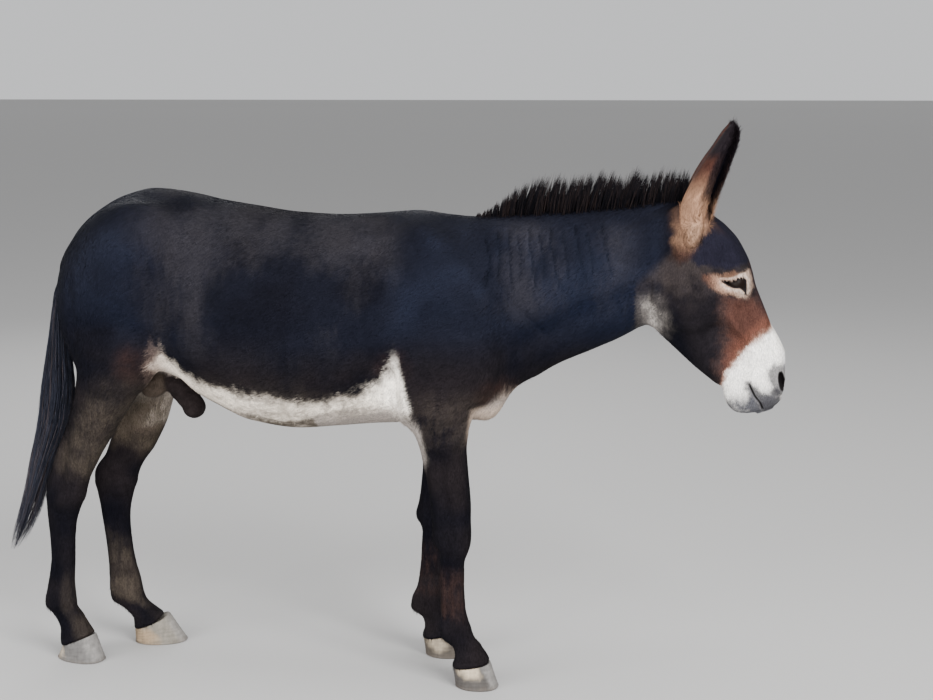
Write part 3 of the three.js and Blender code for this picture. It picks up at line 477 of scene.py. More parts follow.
def groin_distance(x, y, z):
    """Distance to the sheath with its ring folds and to the scrotum."""
    d = bent_tube(SHEATH, x, y, z)
    for points in SHEATH_FOLDS:
        d = d + 1.6 * np.exp(-(groove(points, x, z) / 3.5) ** 2)
    for form in SCROTUM:
        d = melt(d, ellipsoid(form, x, y, z), 6)
    return d


def bare_share(x, y, z):
    """1 on the bare skin of sheath and scrotum, 0 elsewhere."""
    share = np.zeros(np.shape(x))
    groin = (np.abs(x + 780) < 120) & (z < 800) & (z > 600) & (np.abs(y) < 80)
    own = groin_distance(x[groin], y[groin], z[groin])
    flesh = torso(x[groin], y[groin], z[groin])
    share[groin] = smoothstep(10, 4, own) * smoothstep(-2, 5, flesh - own)
    return share


def coat_depth(x, y, z):
    """How far the skin lies inside the tips of the coat."""
    down, _ = head_frame(x, z)
    on_face = smoothstep(360, 420, x) * smoothstep(20, 80, down)
    depth = 3.2 - 1.2 * smoothstep(760, 620, z)
    return depth * (1 - 0.55 * on_face) * (1 - bare_share(x, y, z))


# The gap between the half closed lids: down the head and towards the face, from the back corner on.
EYE_GAP = [
    (188, 19), (194, 31), (198, 43), (199, 56), (202, 64), (211, 66), (222, 61), (233, 55),
    (225, 53), (218, 48), (210, 34), (201, 26),
]


def eye_opening(down, front):
    """Signed distance to the gap between the lids, seen from the side: below zero in the gap."""
    return outline_distance(EYE_GAP, down, front)


def add_eye(d, down, side, front):
    """Lids over the eyeball with the gap between them."""
    ball = np.sqrt((down - EYE[0]) ** 2 + (front - EYE[1]) ** 2 + (side - EYE[2]) ** 2)
    d = melt(d, ball - (EYE_RADIUS + 3.2), 12)
    out = np.hypot(down - EYE[0], front - EYE[1])
    floor = EYE[2] + np.sqrt(np.maximum(EYE_RADIUS ** 2 - out ** 2, (0.42 * EYE_RADIUS) ** 2)) - 1.6
    return scoop(d, np.maximum(eye_opening(down, front), floor - side), 2.2)


NOSTRIL = (468.0, 34.0, 44.0, 22.0, 15.0, 6.5, 15.0)


def add_head_forms(d, x, y, z):
    down, front = head_frame(x, z)
    side = np.abs(y)
    for form in HEAD_SWELLS.values():
        d = melt(d, ellipsoid(form, down, side, front), form[7])
    for form in HEAD_HOLLOWS.values():
        d = scoop(d, ellipsoid(form, down, side, front), form[7])
    on_side = smoothstep(4, 18, side)
    for points, width, depth in HEAD_FOLDS.values():
        reach = 1.0 if depth > 4 else on_side
        d = d + depth * np.exp(-(groove(points, down, front) / width) ** 2) * reach
    d = scoop(d, ellipsoid(NOSTRIL, down, side, front), 4)
    return add_eye(d, down, side, front)


def add_body_forms(d, x, y, z):
    side = np.abs(y)
    for form in BODY_SWELLS.values():
        d = melt(d, ellipsoid(form, x, side, z), form[7])
    for form in BODY_HOLLOWS.values():
        d = scoop(d, ellipsoid(form, x, side, z), form[7])
    on_side = smoothstep(20, 60, side)
    for points, width, depth in BODY_FOLDS.values():
        d = d + depth * np.exp(-(groove(points, x, z) / width) ** 2) * on_side
    return d


def add_leg_forms(d, name, x, y, z):
    u, v = leg_frame(name, x, y, z)
    end = name[:4]
    for form in LEG_SWELLS[end].values():
        d = melt(d, ellipsoid(form, u, np.abs(v), z), form[7])
    for form in LEG_HOLLOWS[end].values():
        d = scoop(d, ellipsoid(form, u, np.abs(v), z), form[7])
    return scoop(d, z - coronet_height(name, u), 3)


def skin_distance(x, y, z):
    """Distance to the skin under the coat, with all its forms."""
    d = flesh_distance(x, y, z) + coat_depth(x, y, z)
    on_head_side = (x > 380) & (z < 1260)
    within(d, on_head_side, lambda own, m: add_head_forms(own, x[m], y[m], z[m]))
    within(d, (x < 400) & (z > 560), lambda own, m: add_body_forms(own, x[m], y[m], z[m]))
    for name in legs:
        own_leg = beside(name, x, y) & (z < 640)
        within(d, own_leg, lambda own, m: add_leg_forms(own, name, x[m], y[m], z[m]))
    return d


# ------------------------------------------------------------------ the skin's mesh

VOXEL = 7.0
COARSE = 4                        # every so many voxels the field is looked at first
SKIN_LOW = (-1130.0, -232.0, 18.0)
SKIN_HIGH = (735.0, 232.0, 1232.0)


def sample_skin():
    """The field on a regular grid, worked out in full only near the skin."""
    counts = [int(math.ceil((high - low) / VOXEL / COARSE)) for low, high in zip(SKIN_LOW, SKIN_HIGH)]

    def grid(n, step):
        axes = [low + step * np.arange(k) for low, k in zip(SKIN_LOW, n)]
        return np.meshgrid(*axes, indexing="ij")
    half = VOXEL * (COARSE - 1) / 2
    x, y, z = (axis.ravel() + half for axis in grid(counts, VOXEL * COARSE))
    coarse = skin_distance(x, y, z).reshape(counts)
    values = coarse.repeat(COARSE, 0).repeat(COARSE, 1).repeat(COARSE, 2)
    near = np.abs(values) < VOXEL * COARSE * 1.6
    fine = [axis[near] for axis in grid([n * COARSE for n in counts], VOXEL)]
    values[near] = skin_distance(*fine)
    return values.astype(np.float32)


def settle(points, rounds=3, reach=3.0):
    """Moves points onto the skin along the field's slope."""
    step = 0.6
    for _ in range(rounds):
        x, y, z = points.T
        d = skin_distance(x, y, z)
        slope = np.stack([
            skin_distance(x + step, y, z) - skin_distance(x - step, y, z),
            skin_distance(x, y + step, z) - skin_distance(x, y - step, z),
            skin_distance(x, y, z + step) - skin_distance(x, y, z - step),
        ], 1) / (2 * step)
        steep = np.maximum((slope ** 2).sum(1), 0.3)
        move = -slope * (d / steep)[:, None]
        size = np.linalg.norm(move, axis=1, keepdims=True)
        points = points + move * np.minimum(1, reach / np.maximum(size, 1e-9))
    return points


def to_row(points):
    """Table millimetres to the frame's metres."""
    return (points + np.array([FRAME_SHIFT_X, 0, 0])) * MM


def to_tables(points):
    return points / MM - np.array([FRAME_SHIFT_X, 0, 0])


def mesh_from(name, points, faces, smooth=True):
    """A mesh from arrays: faces is a list of index arrays, each with its own number of corners."""
    mesh = bpy.data.meshes.new(name)
    mesh.vertices.add(len(points))
    mesh.vertices.foreach_set("co", np.asarray(points, np.float32).ravel())
    corners = np.concatenate([part.ravel() for part in faces])
    sizes = np.concatenate([np.full(len(part), part.shape[1]) for part in faces])
    mesh.loops.add(len(corners))
    mesh.loops.foreach_set("vertex_index", corners.astype(np.int32))
    mesh.polygons.add(len(sizes))
    mesh.polygons.foreach_set("loop_start", np.concatenate([[0], np.cumsum(sizes)[:-1]]).astype(np.int32))
    mesh.polygons.foreach_set("use_smooth", np.full(len(sizes), smooth))
    mesh.update(calc_edges=True)
    return mesh


def points_of(mesh):
    points = np.empty(len(mesh.vertices) * 3, np.float32)
    mesh.vertices.foreach_get("co", points)
    return points.reshape(-1, 3).astype(float)


def normals_of(mesh):
    normals = np.empty(len(mesh.vertices) * 3, np.float32)
    mesh.vertices.foreach_get("normal", normals)
    return normals.reshape(-1, 3).astype(float)


def place_points(mesh, points):
    """Puts the mesh's points at the given places in tables' millimetres."""
    mesh.vertices.foreach_set("co", to_row(points).astype(np.float32).ravel())
    mesh.update()


def store_map(mesh, spots):
    """Stores the coat's map, given for each vertex."""
    corners = np.empty(len(mesh.loops), np.int32)
    mesh.loops.foreach_get("vertex_index", corners)
    layer = mesh.uv_layers.new(name="OFBake")
    layer.uv.foreach_set("vector", spots.reshape(-1, 2)[corners].astype(np.float32).ravel())


def add_object(name, data):
    thing = bpy.data.objects.new(name, data)
    bpy.context.scene.collection.objects.link(thing)
    return thing


def refine(mesh, wanted):
    """Splits each face whose middle is wanted into four, and settles the new points."""
    work = bmesh.new()
    work.from_mesh(mesh)
    middles = np.array([face.calc_center_median() for face in work.faces])
    chosen = wanted(to_tables(middles))
    edges = {edge for face, take in zip(work.faces, chosen) if take for edge in face.edges}
    bmesh.ops.subdivide_edges(work, edges=list(edges), cuts=1, use_grid_fill=True)
    work.to_mesh(mesh)
    work.free()
    points = to_tables(points_of(mesh))
    moving = wanted(points)
    points[moving] = settle(points[moving])
    place_points(mesh, points)


def on_the_head(points):
    down, _ = head_frame(points[:, 0], points[:, 2])
    return (points[:, 0] > 395) & (down > -30)


def round_eye_or_muzzle(points):
    down, front = head_frame(points[:, 0], points[:, 2])
    near_eye = (np.hypot(down - EYE[0], front - EYE[1]) < 40) & (np.abs(points[:, 1]) > 30)
    near_mouth = (down > 425) & (front < 60)
    return (points[:, 0] > 395) & (near_eye | near_mouth)


def make_body_skin():
    grid = openvdb.FloatGrid()
    grid.copyFromArray(sample_skin())
    cells, quads = grid.convertToQuads(isovalue=0.0)[:2]
    points = settle(cells.astype(float) * VOXEL + np.array(SKIN_LOW))
    mesh = mesh_from("skin", to_row(points), [quads[:, ::-1].astype(np.int64)])
    refine(mesh, on_the_head)
    refine(mesh, round_eye_or_muzzle)
    return mesh


# ------------------------------------------------------------------ ears, joined to the skin

EAR_WALL = 5.0
EAR_ROOT = [[470, 1030, 8, 7, 40], [479, 1062, 27, 21, 50]]
EAR_ROWS = 34
EAR_ARC = 26                      # points round an ear, from rim to rim


def ear_curve(rows):
    """An ear's x, depth, half width and opening as functions of height."""
    return curve([[row[1], row[0]] + row[2:] for row in rows])


ear_at, ear_with_root_at = ear_curve(EAR), ear_curve(EAR_ROOT + EAR)


def ear_middle(z):
    """How far out from the middle plane an ear's own middle is at a height."""
    return EAR_BASE_Y + (z - EAR[0][1]) * EAR_SPREAD


def ear_ring(z, side, wall):
    """The rolled section of an ear at one height: points from one rim round the back to the other."""
    _, x, deep, wide, opening = (float(v) for v in ear_with_root_at(np.array(float(z))))
    turn = math.radians(EAR_TURN)
    closed = math.pi - math.radians(opening) / 2
    angle = math.pi + np.linspace(-closed, closed, EAR_ARC)
    wall = min(wall, 0.4 * deep)
    u, v = (deep - wall) * np.cos(angle), (wide - wall) * np.sin(angle)
    return np.stack([
        x + u * math.cos(turn) - v * math.sin(turn),
        side * (ear_middle(z) - u * math.sin(turn) - v * math.cos(turn)),
        z + 0.3 * u,
    ], 1)


def make_ear(side):
    """A closed shell: outer wall, rim, inner wall, rim."""
    heights = EAR_ROOT[0][1] + (EAR[-1][1] - EAR_ROOT[0][1]) * np.linspace(0, 1, EAR_ROWS) ** 0.94
    rings = []
    for z in heights:
        outer, inner = ear_ring(z, side, 1.0), ear_ring(z, side, 1.0 + EAR_WALL)
        middle = ear_ring(z, side, 1.0 + EAR_WALL / 2)
        lip = 1.3 * (middle[[0, -1]] - middle[[1, -2]])
        rings.append(np.concatenate([outer, middle[-1:] + lip[1:], inner[::-1], middle[:1] + lip[:1]]))
    count = len(rings[0])
    points = np.concatenate(rings)
    row, i = np.meshgrid(np.arange(EAR_ROWS - 1), np.arange(count), indexing="ij")
    a, b = row * count + i, row * count + (i + 1) % count
    walls = np.stack([a, b, b + count, a + count], -1).reshape(-1, 4)
    caps = []
    for start in (0, (EAR_ROWS - 1) * count):
        for k in range(EAR_ARC):
            quad = [start + k, start + k + 1, start + count - 2 - k, start + (count - 1 - k) % count]
            caps.append(quad if start else quad[::-1])
    caps = np.array(caps)
    if side > 0:
        walls, caps = walls[:, ::-1], caps[:, ::-1]
    return mesh_from(f"ear_shell_{'left' if side > 0 else 'right'}", to_row(points), [walls, caps])


def join_ears(mesh):
    """One closed skin of body and ears."""
    body = add_object("skin", mesh)
    for side in (-1, 1):
        ear = add_object("ear_shell", make_ear(side))
        join = body.modifiers.new("join", "BOOLEAN")
        join.operation = "UNION"
        join.solver = "MANIFOLD"
        join.object = ear
        joined = bpy.data.meshes.new_from_object(body.evaluated_get(bpy.context.evaluated_depsgraph_get()))
        body.modifiers.clear()
        body.data = joined
        bpy.data.objects.remove(ear)
    body.data.name = "skin"
    return body


# ------------------------------------------------------------------ markings, with painted sheen and shade

BLACK = (0.0034, 0.0034, 0.0054)
SKY_SHEEN = (0.0048, 0.0072, 0.0170)
BROWN_BLACK = (0.020, 0.015, 0.014)
DUST = (0.021, 0.019, 0.021)
GREY_BROWN = (0.030, 0.024, 0.020)
DUSTY = (0.050, 0.040, 0.031)
RUST = (0.062, 0.028, 0.021)
CREAM = (0.34, 0.205, 0.14)
WHITE = (0.82, 0.79, 0.75)
BELLY_WHITE = (0.80, 0.71, 0.60)
GREY_WHITE = (0.38, 0.35, 0.32)
EAR_TAN = (0.235, 0.132, 0.082)
EAR_BROWN = (0.034, 0.014, 0.010)
BARE_SKIN = (0.013, 0.010, 0.010)
MOTTLE = (0.017, 0.014, 0.016)
BACK_DUST_AND_SHEEN = (0.011, 0.0105, 0.013)
BURNT_BROWN = (0.028, 0.014, 0.011)
FLANK_FRINGE = (0.070, 0.036, 0.026)
CHEST_CREAM = (0.33, 0.245, 0.19)
FLANK_CREAM = (0.34, 0.26, 0.22)
BELLY_UNDERSIDE_SHADE = (0.42, 0.37, 0.32)
INNER_ARM = (0.25, 0.22, 0.20)
ARM_EDGE = (0.36, 0.28, 0.22)
SHIN_BROWN = (0.030, 0.017, 0.014)
INNER_GASKIN = (0.058, 0.046, 0.034)
FACE_BLACK = (0.0085, 0.0072, 0.0085)
TEMPLE = (0.034, 0.027, 0.024)
RUST_SHADOW = (0.045, 0.026, 0.022)
BRIGHT_RUST = (0.14, 0.055, 0.036)
NOSE_BROWN = (0.026, 0.015, 0.016)
FOREHEAD_SKY_SHEEN = (0.0095, 0.0090, 0.0150)
THROAT_SHADOW = (0.075, 0.066, 0.060)
THROAT_GREY = (0.27, 0.245, 0.225)
MUZZLE_EDGE = (0.34, 0.19, 0.14)
EYE_CORNER = (0.075, 0.038, 0.027)
EYE_CREAM = (0.44, 0.33, 0.26)
LID_PALE = (0.62, 0.53, 0.46)
BROW_TAN = (0.13, 0.070, 0.045)
LID_RIM = (0.010, 0.008, 0.008)
LIP_GREY = (0.046, 0.044, 0.048)
WING_GREY = (0.048, 0.046, 0.050)
NOSTRIL_UNDER_SHADE = (0.022, 0.021, 0.025)
CHIN_GREY = (0.072, 0.072, 0.082)
LIP_EDGE = (0.050, 0.049, 0.055)
NOSE_PROFILE_SHADE = (0.40, 0.42, 0.47)
MOUTH_CREASE_SHADE = (0.008, 0.007, 0.007)
NOSTRIL_SHADE = (0.006, 0.005, 0.005)
EAR_BLACK = (0.0075, 0.0055, 0.0065)
EAR_BACK = (0.045, 0.018, 0.013)
EAR_INSIDE_SHADE = (0.035, 0.020, 0.015)
BARE_BROWN = (0.042, 0.032, 0.025)
EAR_FOOT_BROWN = (0.050, 0.026, 0.019)
EAR_FOOT_CREAM = (0.34, 0.22, 0.15)

# Upper border of the pale belly, as x and height, from the stifle round to the chest.
BELLY_BORDER = [
    (-1000, 560), (-896, 612), (-870, 640), (-840, 676), (-812, 712), (-800, 748), (-790, 786), (-779, 812),
    (-768, 818), (-757, 798), (-748, 784),
    (-729, 775), (-700, 752), (-660, 736), (-600, 725), (-539, 716), (-450, 706), (-374, 704), (-328, 709),
    (-292, 717), (-261, 729), (-236, 748), (-215, 774), (-198, 806), (-185, 838), (-174, 790), (-164, 724),
    (-150, 660), (-120, 636), (-60, 630), (-22, 674), (13, 702), (41, 712), (66, 720), (95, 722), (120, 700),
    (160, 660),
]
# The pale muzzle's border on the head: height towards the face, distance down.
MUZZLE_BORDER = [
    (-110, 446), (-78, 416), (-65, 400), (-42, 389), (-25, 379), (-1, 366), (19, 360), (44, 353), (65, 348),
    (83, 340), (100, 334),
]
THROAT_PATCH = (206, 62, -164, 42, 60, 24, 14)
# The tan hair round the foot of an ear, as x and height.
EAR_FOOT = [
    (434, 1185), (445, 1179), (444, 1148), (442, 1116), (440, 1085), (436, 1058), (462, 1046), (482, 1058),
    (496, 1082), (508, 1108), (520, 1124), (528, 1142), (534, 1158), (538, 1180),
]
# Outlines on the side of the head, as distance down and towards the face.
PALE_ROUND_EYE = [
    (154, -14), (164, 6), (178, 22), (188, 44), (190, 60), (190, 76), (198, 84), (213, 81), (229, 75),
    (243, 62), (249, 52), (239, 41), (228, 28), (216, 16), (204, 2), (190, -8), (174, -14), (162, -18),
]
TAN_BROW = [(170, 18), (176, 34), (178, 52), (190, 58), (192, 44), (188, 30), (180, 16)]
FOREHEAD = [
    (20, -20), (80, -34), (131, -18), (143, 4), (158, 22), (168, 36), (172, 60), (180, 84), (180, 130),
    (20, 130),
]
RUST_CHEEK = [
    (236, 8), (246, 44), (262, 58), (290, 74), (340, 90), (352, 44), (366, 0), (388, -40), (404, -72),
    (372, -62), (338, -30), (300, -14), (262, -4),
]
GREY_LIPS = [
    (431, -34), (447, -41), (465, -40), (494, -52), (530, -50), (530, 20), (504, 30), (487, 12), (477, -2),
    (465, -9), (444, -16), (433, -22),
]
GREY_WING = [(424, 24), (420, 46), (436, 70), (500, 60), (508, 30), (488, 18), (470, 17), (450, 16)]

belly_border = curve(BELLY_BORDER)
under_belly = curve([
    (-700, 700), (-593, 675), (-529, 668), (-472, 650), (-439, 654), (-380, 678), (-330, 690), (-250, 690),
])
muzzle_border = curve(MUZZLE_BORDER)


def lattice(i, j, k):
    """A repeatable random number between -1 and 1 for each corner of a grid."""
    n = (i * 73856093) ^ (j * 19349663) ^ (k * 83492791)
    n = (n ^ (n >> 13)) * 1274126177
    return ((n ^ (n >> 16)) & 0xFFFF) / 32767.5 - 1


def smooth_noise(x, y, z):
    cell = [np.floor(axis).astype(np.int64) for axis in (x, y, z)]
    share = [axis - whole for axis, whole in zip((x, y, z), cell)]
    share = [t * t * (3 - 2 * t) for t in share]
    total = 0
    for corner in np.ndindex(2, 2, 2):
        weight = 1
        for t, high in zip(share, corner):
            weight = weight * (t if high else 1 - t)
        total = total + weight * lattice(*(whole + high for whole, high in zip(cell, corner)))
    return total


def wobble(x, y, z, size):
    """Smooth noise between about -1 and 1, with patches of about the given size."""
    coarse = smooth_noise(x / size, y / size, z / size)
    fine = smooth_noise(2.3 * x / size + 17, 2.3 * y / size + 5, 2.3 * z / size + 11)
    return np.clip(1.1 * coarse + 0.55 * fine, -1.2, 1.2)


def toward(colour, target, share):
    """Mixes each point's colour towards a target colour or colours."""
    share = np.clip(share, 0, 1)[:, None]
    return colour * (1 - share) + np.asarray(target) * share


def ear_share(x, y, z):
    up = smoothstep(1118, 1168, z + 0.25 * np.abs(x - 500))
    return up * smoothstep(425, 455, x) * smoothstep(36, 50, np.abs(y))


def ear_side(x, y, z, normals):
    """Above zero on the outer wall of an ear, below zero inside it."""
    cx = ear_at(z)[1]
    cy = np.sign(y) * ear_middle(z)
    facing = (x - cx) * normals[:, 0] + (y - cy) * normals[:, 1]
    return facing / np.maximum(np.hypot(x - cx, y - cy), 1.0)


def body_colour(x, y, z, normals):
    up = smoothstep(-0.3, 0.95, normals[:, 2])
    colour = np.tile(BLACK, (len(x), 1))
    # Painted sky sheen: the upper body is tinted navy where it faces upwards.
    colour = toward(colour, SKY_SHEEN, up * smoothstep(760, 1000, z))
    low = smoothstep(900, 720, z) * smoothstep(-1.0, 0.8, wobble(x, y, z, 90))
    colour = toward(colour, BROWN_BLACK, 0.4 * low)
    dust = smoothstep(-0.5, 0.9, wobble(x, y, 0.6 * z, 110) + 0.35 * smooth_noise(x / 5, y / 9, z / 26))
    barrel = smoothstep(-880, -720, x) * smoothstep(-130, -260, x) * smoothstep(760, 900, z)
    neck = smoothstep(-60, 60, x) * smoothstep(400, 300, x)
    neck = neck * smoothstep(880, 960, z) * smoothstep(1150, 1110, z)
    colour = toward(colour, DUST, dust * np.maximum(0.62 * barrel, 0.50 * neck))
    # Dust and painted sky sheen: the back's upward-facing top goes grey.
    top = smoothstep(0.55, 0.98, normals[:, 2]) * smoothstep(-960, -700, x) * smoothstep(60, -120, x)
    colour = toward(colour, BACK_DUST_AND_SHEEN, 0.7 * top)
    brown = smoothstep(70, 0, np.hypot((x + 832) * 1.2, z - 790))
    brown = brown + smoothstep(60, 0, np.hypot(x + 200, z - 800))
    brown = brown + smoothstep(70, 10, np.hypot(x - 40, z - 720))
    colour = toward(colour, BURNT_BROWN, 0.75 * brown * (0.6 + 0.4 * wobble(x, y, z, 24)))
    share = belly_share(x, y, z)
    fringe = 0.8 * smoothstep(0.95, 0.35, share) * smoothstep(-735, -770, x)
    return toward(colour, toward(belly_white(x, y, z), FLANK_FRINGE, fringe), share)


def belly_share(x, y, z):
    """How white the coat is: the belly, the wedges before and behind it and the breast's underside."""
    height = belly_border(x)[1]
    slope = (belly_border(x + 4)[1] - belly_border(x - 4)[1]) / 8
    calm = 1 - 0.45 * smoothstep(-740, -770, x)
    ragged = calm * (9 * wobble(x, y, z, 26) + 13 * smooth_noise((x + 0.5 * z) / 4, y / 9, z / 18))
    above = (z - height) / np.hypot(1, np.clip(slope, -3, 3)) + ragged
    share = smoothstep(26, -20, above) * smoothstep(560, 610, z)
    share = share * (1 - 0.5 * smoothstep(700, 670, z) * smoothstep(-205, -180, x) * smoothstep(-60, -90, x))
    dark_hairs = smoothstep(-0.2, 0.6, smooth_noise((x + 0.2 * z) / 4, y / 5, z / 34))
    share = share * (1 - 0.75 * dark_hairs * smoothstep(730, 830, z) * smoothstep(-330, -280, x))
    outer_thigh = smoothstep(-850, -885, x) * smoothstep(70, 95, np.abs(y))
    side = smoothstep(92, 106, np.abs(y) + 0.10 * (z - 640))
    outer_arm = smoothstep(-168, -146, x + 0.3 * (z - 700)) * smoothstep(44, 22, x + 0.4 * (700 - z)) * side
    return share * (1 - np.maximum(outer_thigh, outer_arm))


def belly_white(x, y, z):
    white = np.tile(BELLY_WHITE, (len(x), 1))
    white = toward(white, WHITE, smoothstep(-300, -190, x) * 0.45)
    chest = smoothstep(-90, -40, x)
    white = toward(white, CHEST_CREAM, 0.9 * chest)
    white = toward(white, FLANK_CREAM, 0.75 * smoothstep(-745, -790, x))
    # Painted shade: the belly's underside, below its ridge, goes grey.
    under = smoothstep(12, -10, z - under_belly(x)[1]) * (1 - chest)
    white = toward(white, BELLY_UNDERSIDE_SHADE, 0.75 * under)
    streaks = smooth_noise((x + 0.8 * z) / 40, y / 9, (z - 0.15 * x) / 3.2)
    fine = smooth_noise(x / 5, y / 5, z / 5)
    return white * (1 + 0.16 * streaks + (0.06 + 0.40 * chest) * fine)[:, None]


def leg_colour(colour, name, x, y, z):
    """Dusty upper legs, pale inner sides and black lower legs, as each leg of the animal is marked."""
    u, v = leg_frame(name, x, y, z)
    ragged = 26 * wobble(x, y, z, 34) + 8 * smooth_noise(x / 4, y / 4, z / 26)
    dusting = smoothstep(-1.0, 0.7, smooth_noise(x / 3.5, y / 3.5, z / 24) + 0.7 * wobble(x, y, z, 40))
    inner = smoothstep(-2, -24, v)
    if name.startswith("fore"):
        top = smoothstep(585, 660, z + ragged) * smoothstep(770, 700, z)
        colour = toward(colour, GREY_BROWN, 0.55 * top * dusting)
        back_edge = smoothstep(-34, -50, u + 0.16 * ragged)
        back_edge = back_edge * smoothstep(535, 585, z) * smoothstep(690, 640, z)
        pale = np.maximum(inner * smoothstep(540, 620, z + ragged) * smoothstep(740, 680, z), back_edge)
        colour = toward(colour, INNER_ARM, 0.8 * pale)
        front_edge = smoothstep(34, 46, u) * smoothstep(600, 660, z)
        front_edge = front_edge * smoothstep(710, 680, z) * smoothstep(-30, -4, -v)
        colour = toward(colour, ARM_EDGE, 0.7 * front_edge)
        shin = smoothstep(150, 190, z) * smoothstep(320, 260, z)
        colour = toward(colour, SHIN_BROWN, 0.6 * shin * dusting)
        chestnut = ((u + 4) / 15) ** 2 + ((z - 470) / 24) ** 2
        return toward(colour, BARE_SKIN, smoothstep(1.3, 0.8, chestnut) * smoothstep(-20, -28, v))
    hock_top = 512 if name.endswith("right") else 536
    gaskin = smoothstep(hock_top - 26, hock_top + 22, z + 0.5 * ragged + 0.35 * u) * smoothstep(800, 640, z)
    outside = gaskin * smoothstep(-64, 0, u + 0.10 * (640 - z))
    colour = toward(colour, DUSTY, 0.70 * outside * (0.35 + 0.65 * dusting) * (1 - inner))
    colour = toward(colour, INNER_GASKIN, 0.95 * gaskin * inner * (0.5 + 0.5 * dusting))
    colour = toward(colour, GREY_WHITE, 0.3 * inner * smoothstep(640, 720, z) * smoothstep(820, 760, z))
    lower = smoothstep(330, 220, z + ragged) * smoothstep(104, 132, z + 0.4 * u + 0.3 * ragged)
    shin = lower * np.maximum(inner, 0.32 * smoothstep(6, 24, u) * smoothstep(260, 190, z))
    colour = toward(colour, DUSTY, 0.85 * shin * (0.3 + 0.7 * dusting))
    pastern = smoothstep(130, 100, z) * smoothstep(8, 30, u + 0.2 * ragged) * smoothstep(50, 66, z)
    return toward(colour, DUSTY, (0.35 if name.endswith("right") else 0.1) * pastern)


def head_colour(x, y, z):
    down, front = head_frame(x, z)
    side = np.abs(y)
    blotch = wobble(x, y, z, 26)
    ragged = 4 * wobble(x, y, z, 9) + 2.5 * smooth_noise(x / 2, y / 2, z / 6)
    colour = np.tile(FACE_BLACK, (len(x), 1))
    temple = smoothstep(-190, -60, front) * smoothstep(250, 130, down)
    colour = toward(colour, TEMPLE, 0.85 * temple * smoothstep(-1.2, 0.6, blotch))
    mottled = smoothstep(-0.4, 0.8, blotch) * smoothstep(-110, -60, front)
    colour = toward(colour, MOTTLE, 0.6 * mottled)
    # Painted shade: the jowl, low on the back of the cheek, is darkened to black.
    jowl = smoothstep(-92, -128, front + 0.15 * (down - 250)) * smoothstep(170, 220, down)
    colour = toward(colour, BLACK, jowl)
    rust = outline_distance(RUST_CHEEK, down, front) + 2 * ragged
    colour = toward(colour, RUST_SHADOW, 0.8 * smoothstep(34, 0, rust))
    colour = toward(colour, RUST, smoothstep(14, -14, rust))
    bright = np.exp(-((down - muzzle_border(front)[1] + 22) / 16) ** 2) * smoothstep(-70, -10, front)
    colour = toward(colour, BRIGHT_RUST, 0.55 * bright)
    profile = smoothstep(44, 20, side) * smoothstep(20, 60, front) * smoothstep(346, 270, down)
    colour = toward(colour, NOSE_BROWN, 0.85 * profile)
    # Painted sky sheen: the forehead is tinted dark blue.
    forehead = smoothstep(5, -7, outline_distance(FOREHEAD, down, front) + 0.8 * ragged)
    colour = toward(colour, FOREHEAD_SKY_SHEEN, forehead)
    colour = eye_colour(colour, down, front, side, ragged)
    patch = ellipsoid(THROAT_PATCH, down, side, front) + 9 * wobble(x, y, z, 20)
    strands = 0.5 + 0.5 * smoothstep(-0.8, 0.8, smooth_noise(x / 3, y / 5, z / 16))
    colour = toward(colour, THROAT_SHADOW, 0.8 * smoothstep(36, 4, patch) * strands)
    colour = toward(colour, THROAT_GREY, smoothstep(12, -22, patch) * strands ** 1.5)
    edge = down - muzzle_border(front)[1] + 1.2 * ragged
    colour = toward(colour, MUZZLE_EDGE, 0.75 * smoothstep(-16, -2, edge))
    white = smoothstep(-9, 10, edge)
    colour = toward(colour, WHITE, white)
    return muzzle_colour(colour, down, side, front, white, ragged)


def eye_colour(colour, down, front, side, ragged):
    """The pale surround of the eye, the tan brow and the black rims of the lids."""
    facing = smoothstep(24, 38, side)
    pale = smoothstep(8, -8, outline_distance(PALE_ROUND_EYE, down, front) + 0.6 * ragged)
    along = (down - 185) * 0.44 + (front - 17) * 0.90
    tint = toward(np.tile(EYE_CORNER, (len(down), 1)), CREAM, smoothstep(-36, 10, along))
    tint = toward(tint, EYE_CREAM, 0.7 * smoothstep(16, 50, along))
    lid = np.exp(-((eye_opening(down, front) - 7) / 3.0) ** 2)
    tint = toward(tint, LID_PALE, 0.6 * lid * smoothstep(-20, 20, along))
    tint = tint * (1 + 0.14 * smooth_noise(down / 9, front / 3, side / 5))[:, None]
    colour = toward(colour, tint, pale * facing)
    tan = smoothstep(4, -4, outline_distance(TAN_BROW, down, front) + 0.6 * ragged)
    colour = toward(colour, BROW_TAN, 0.85 * tan * facing)
    rim = np.minimum(eye_opening(down, front), groove([(182, 14), (190, 22)], down, front) + 2.0)
    rim = np.minimum(rim, groove([(226, 60), (240, 54)], down, front) + 0.5)
    return toward(colour, LID_RIM, smoothstep(4.2, 2.2, rim) * facing)


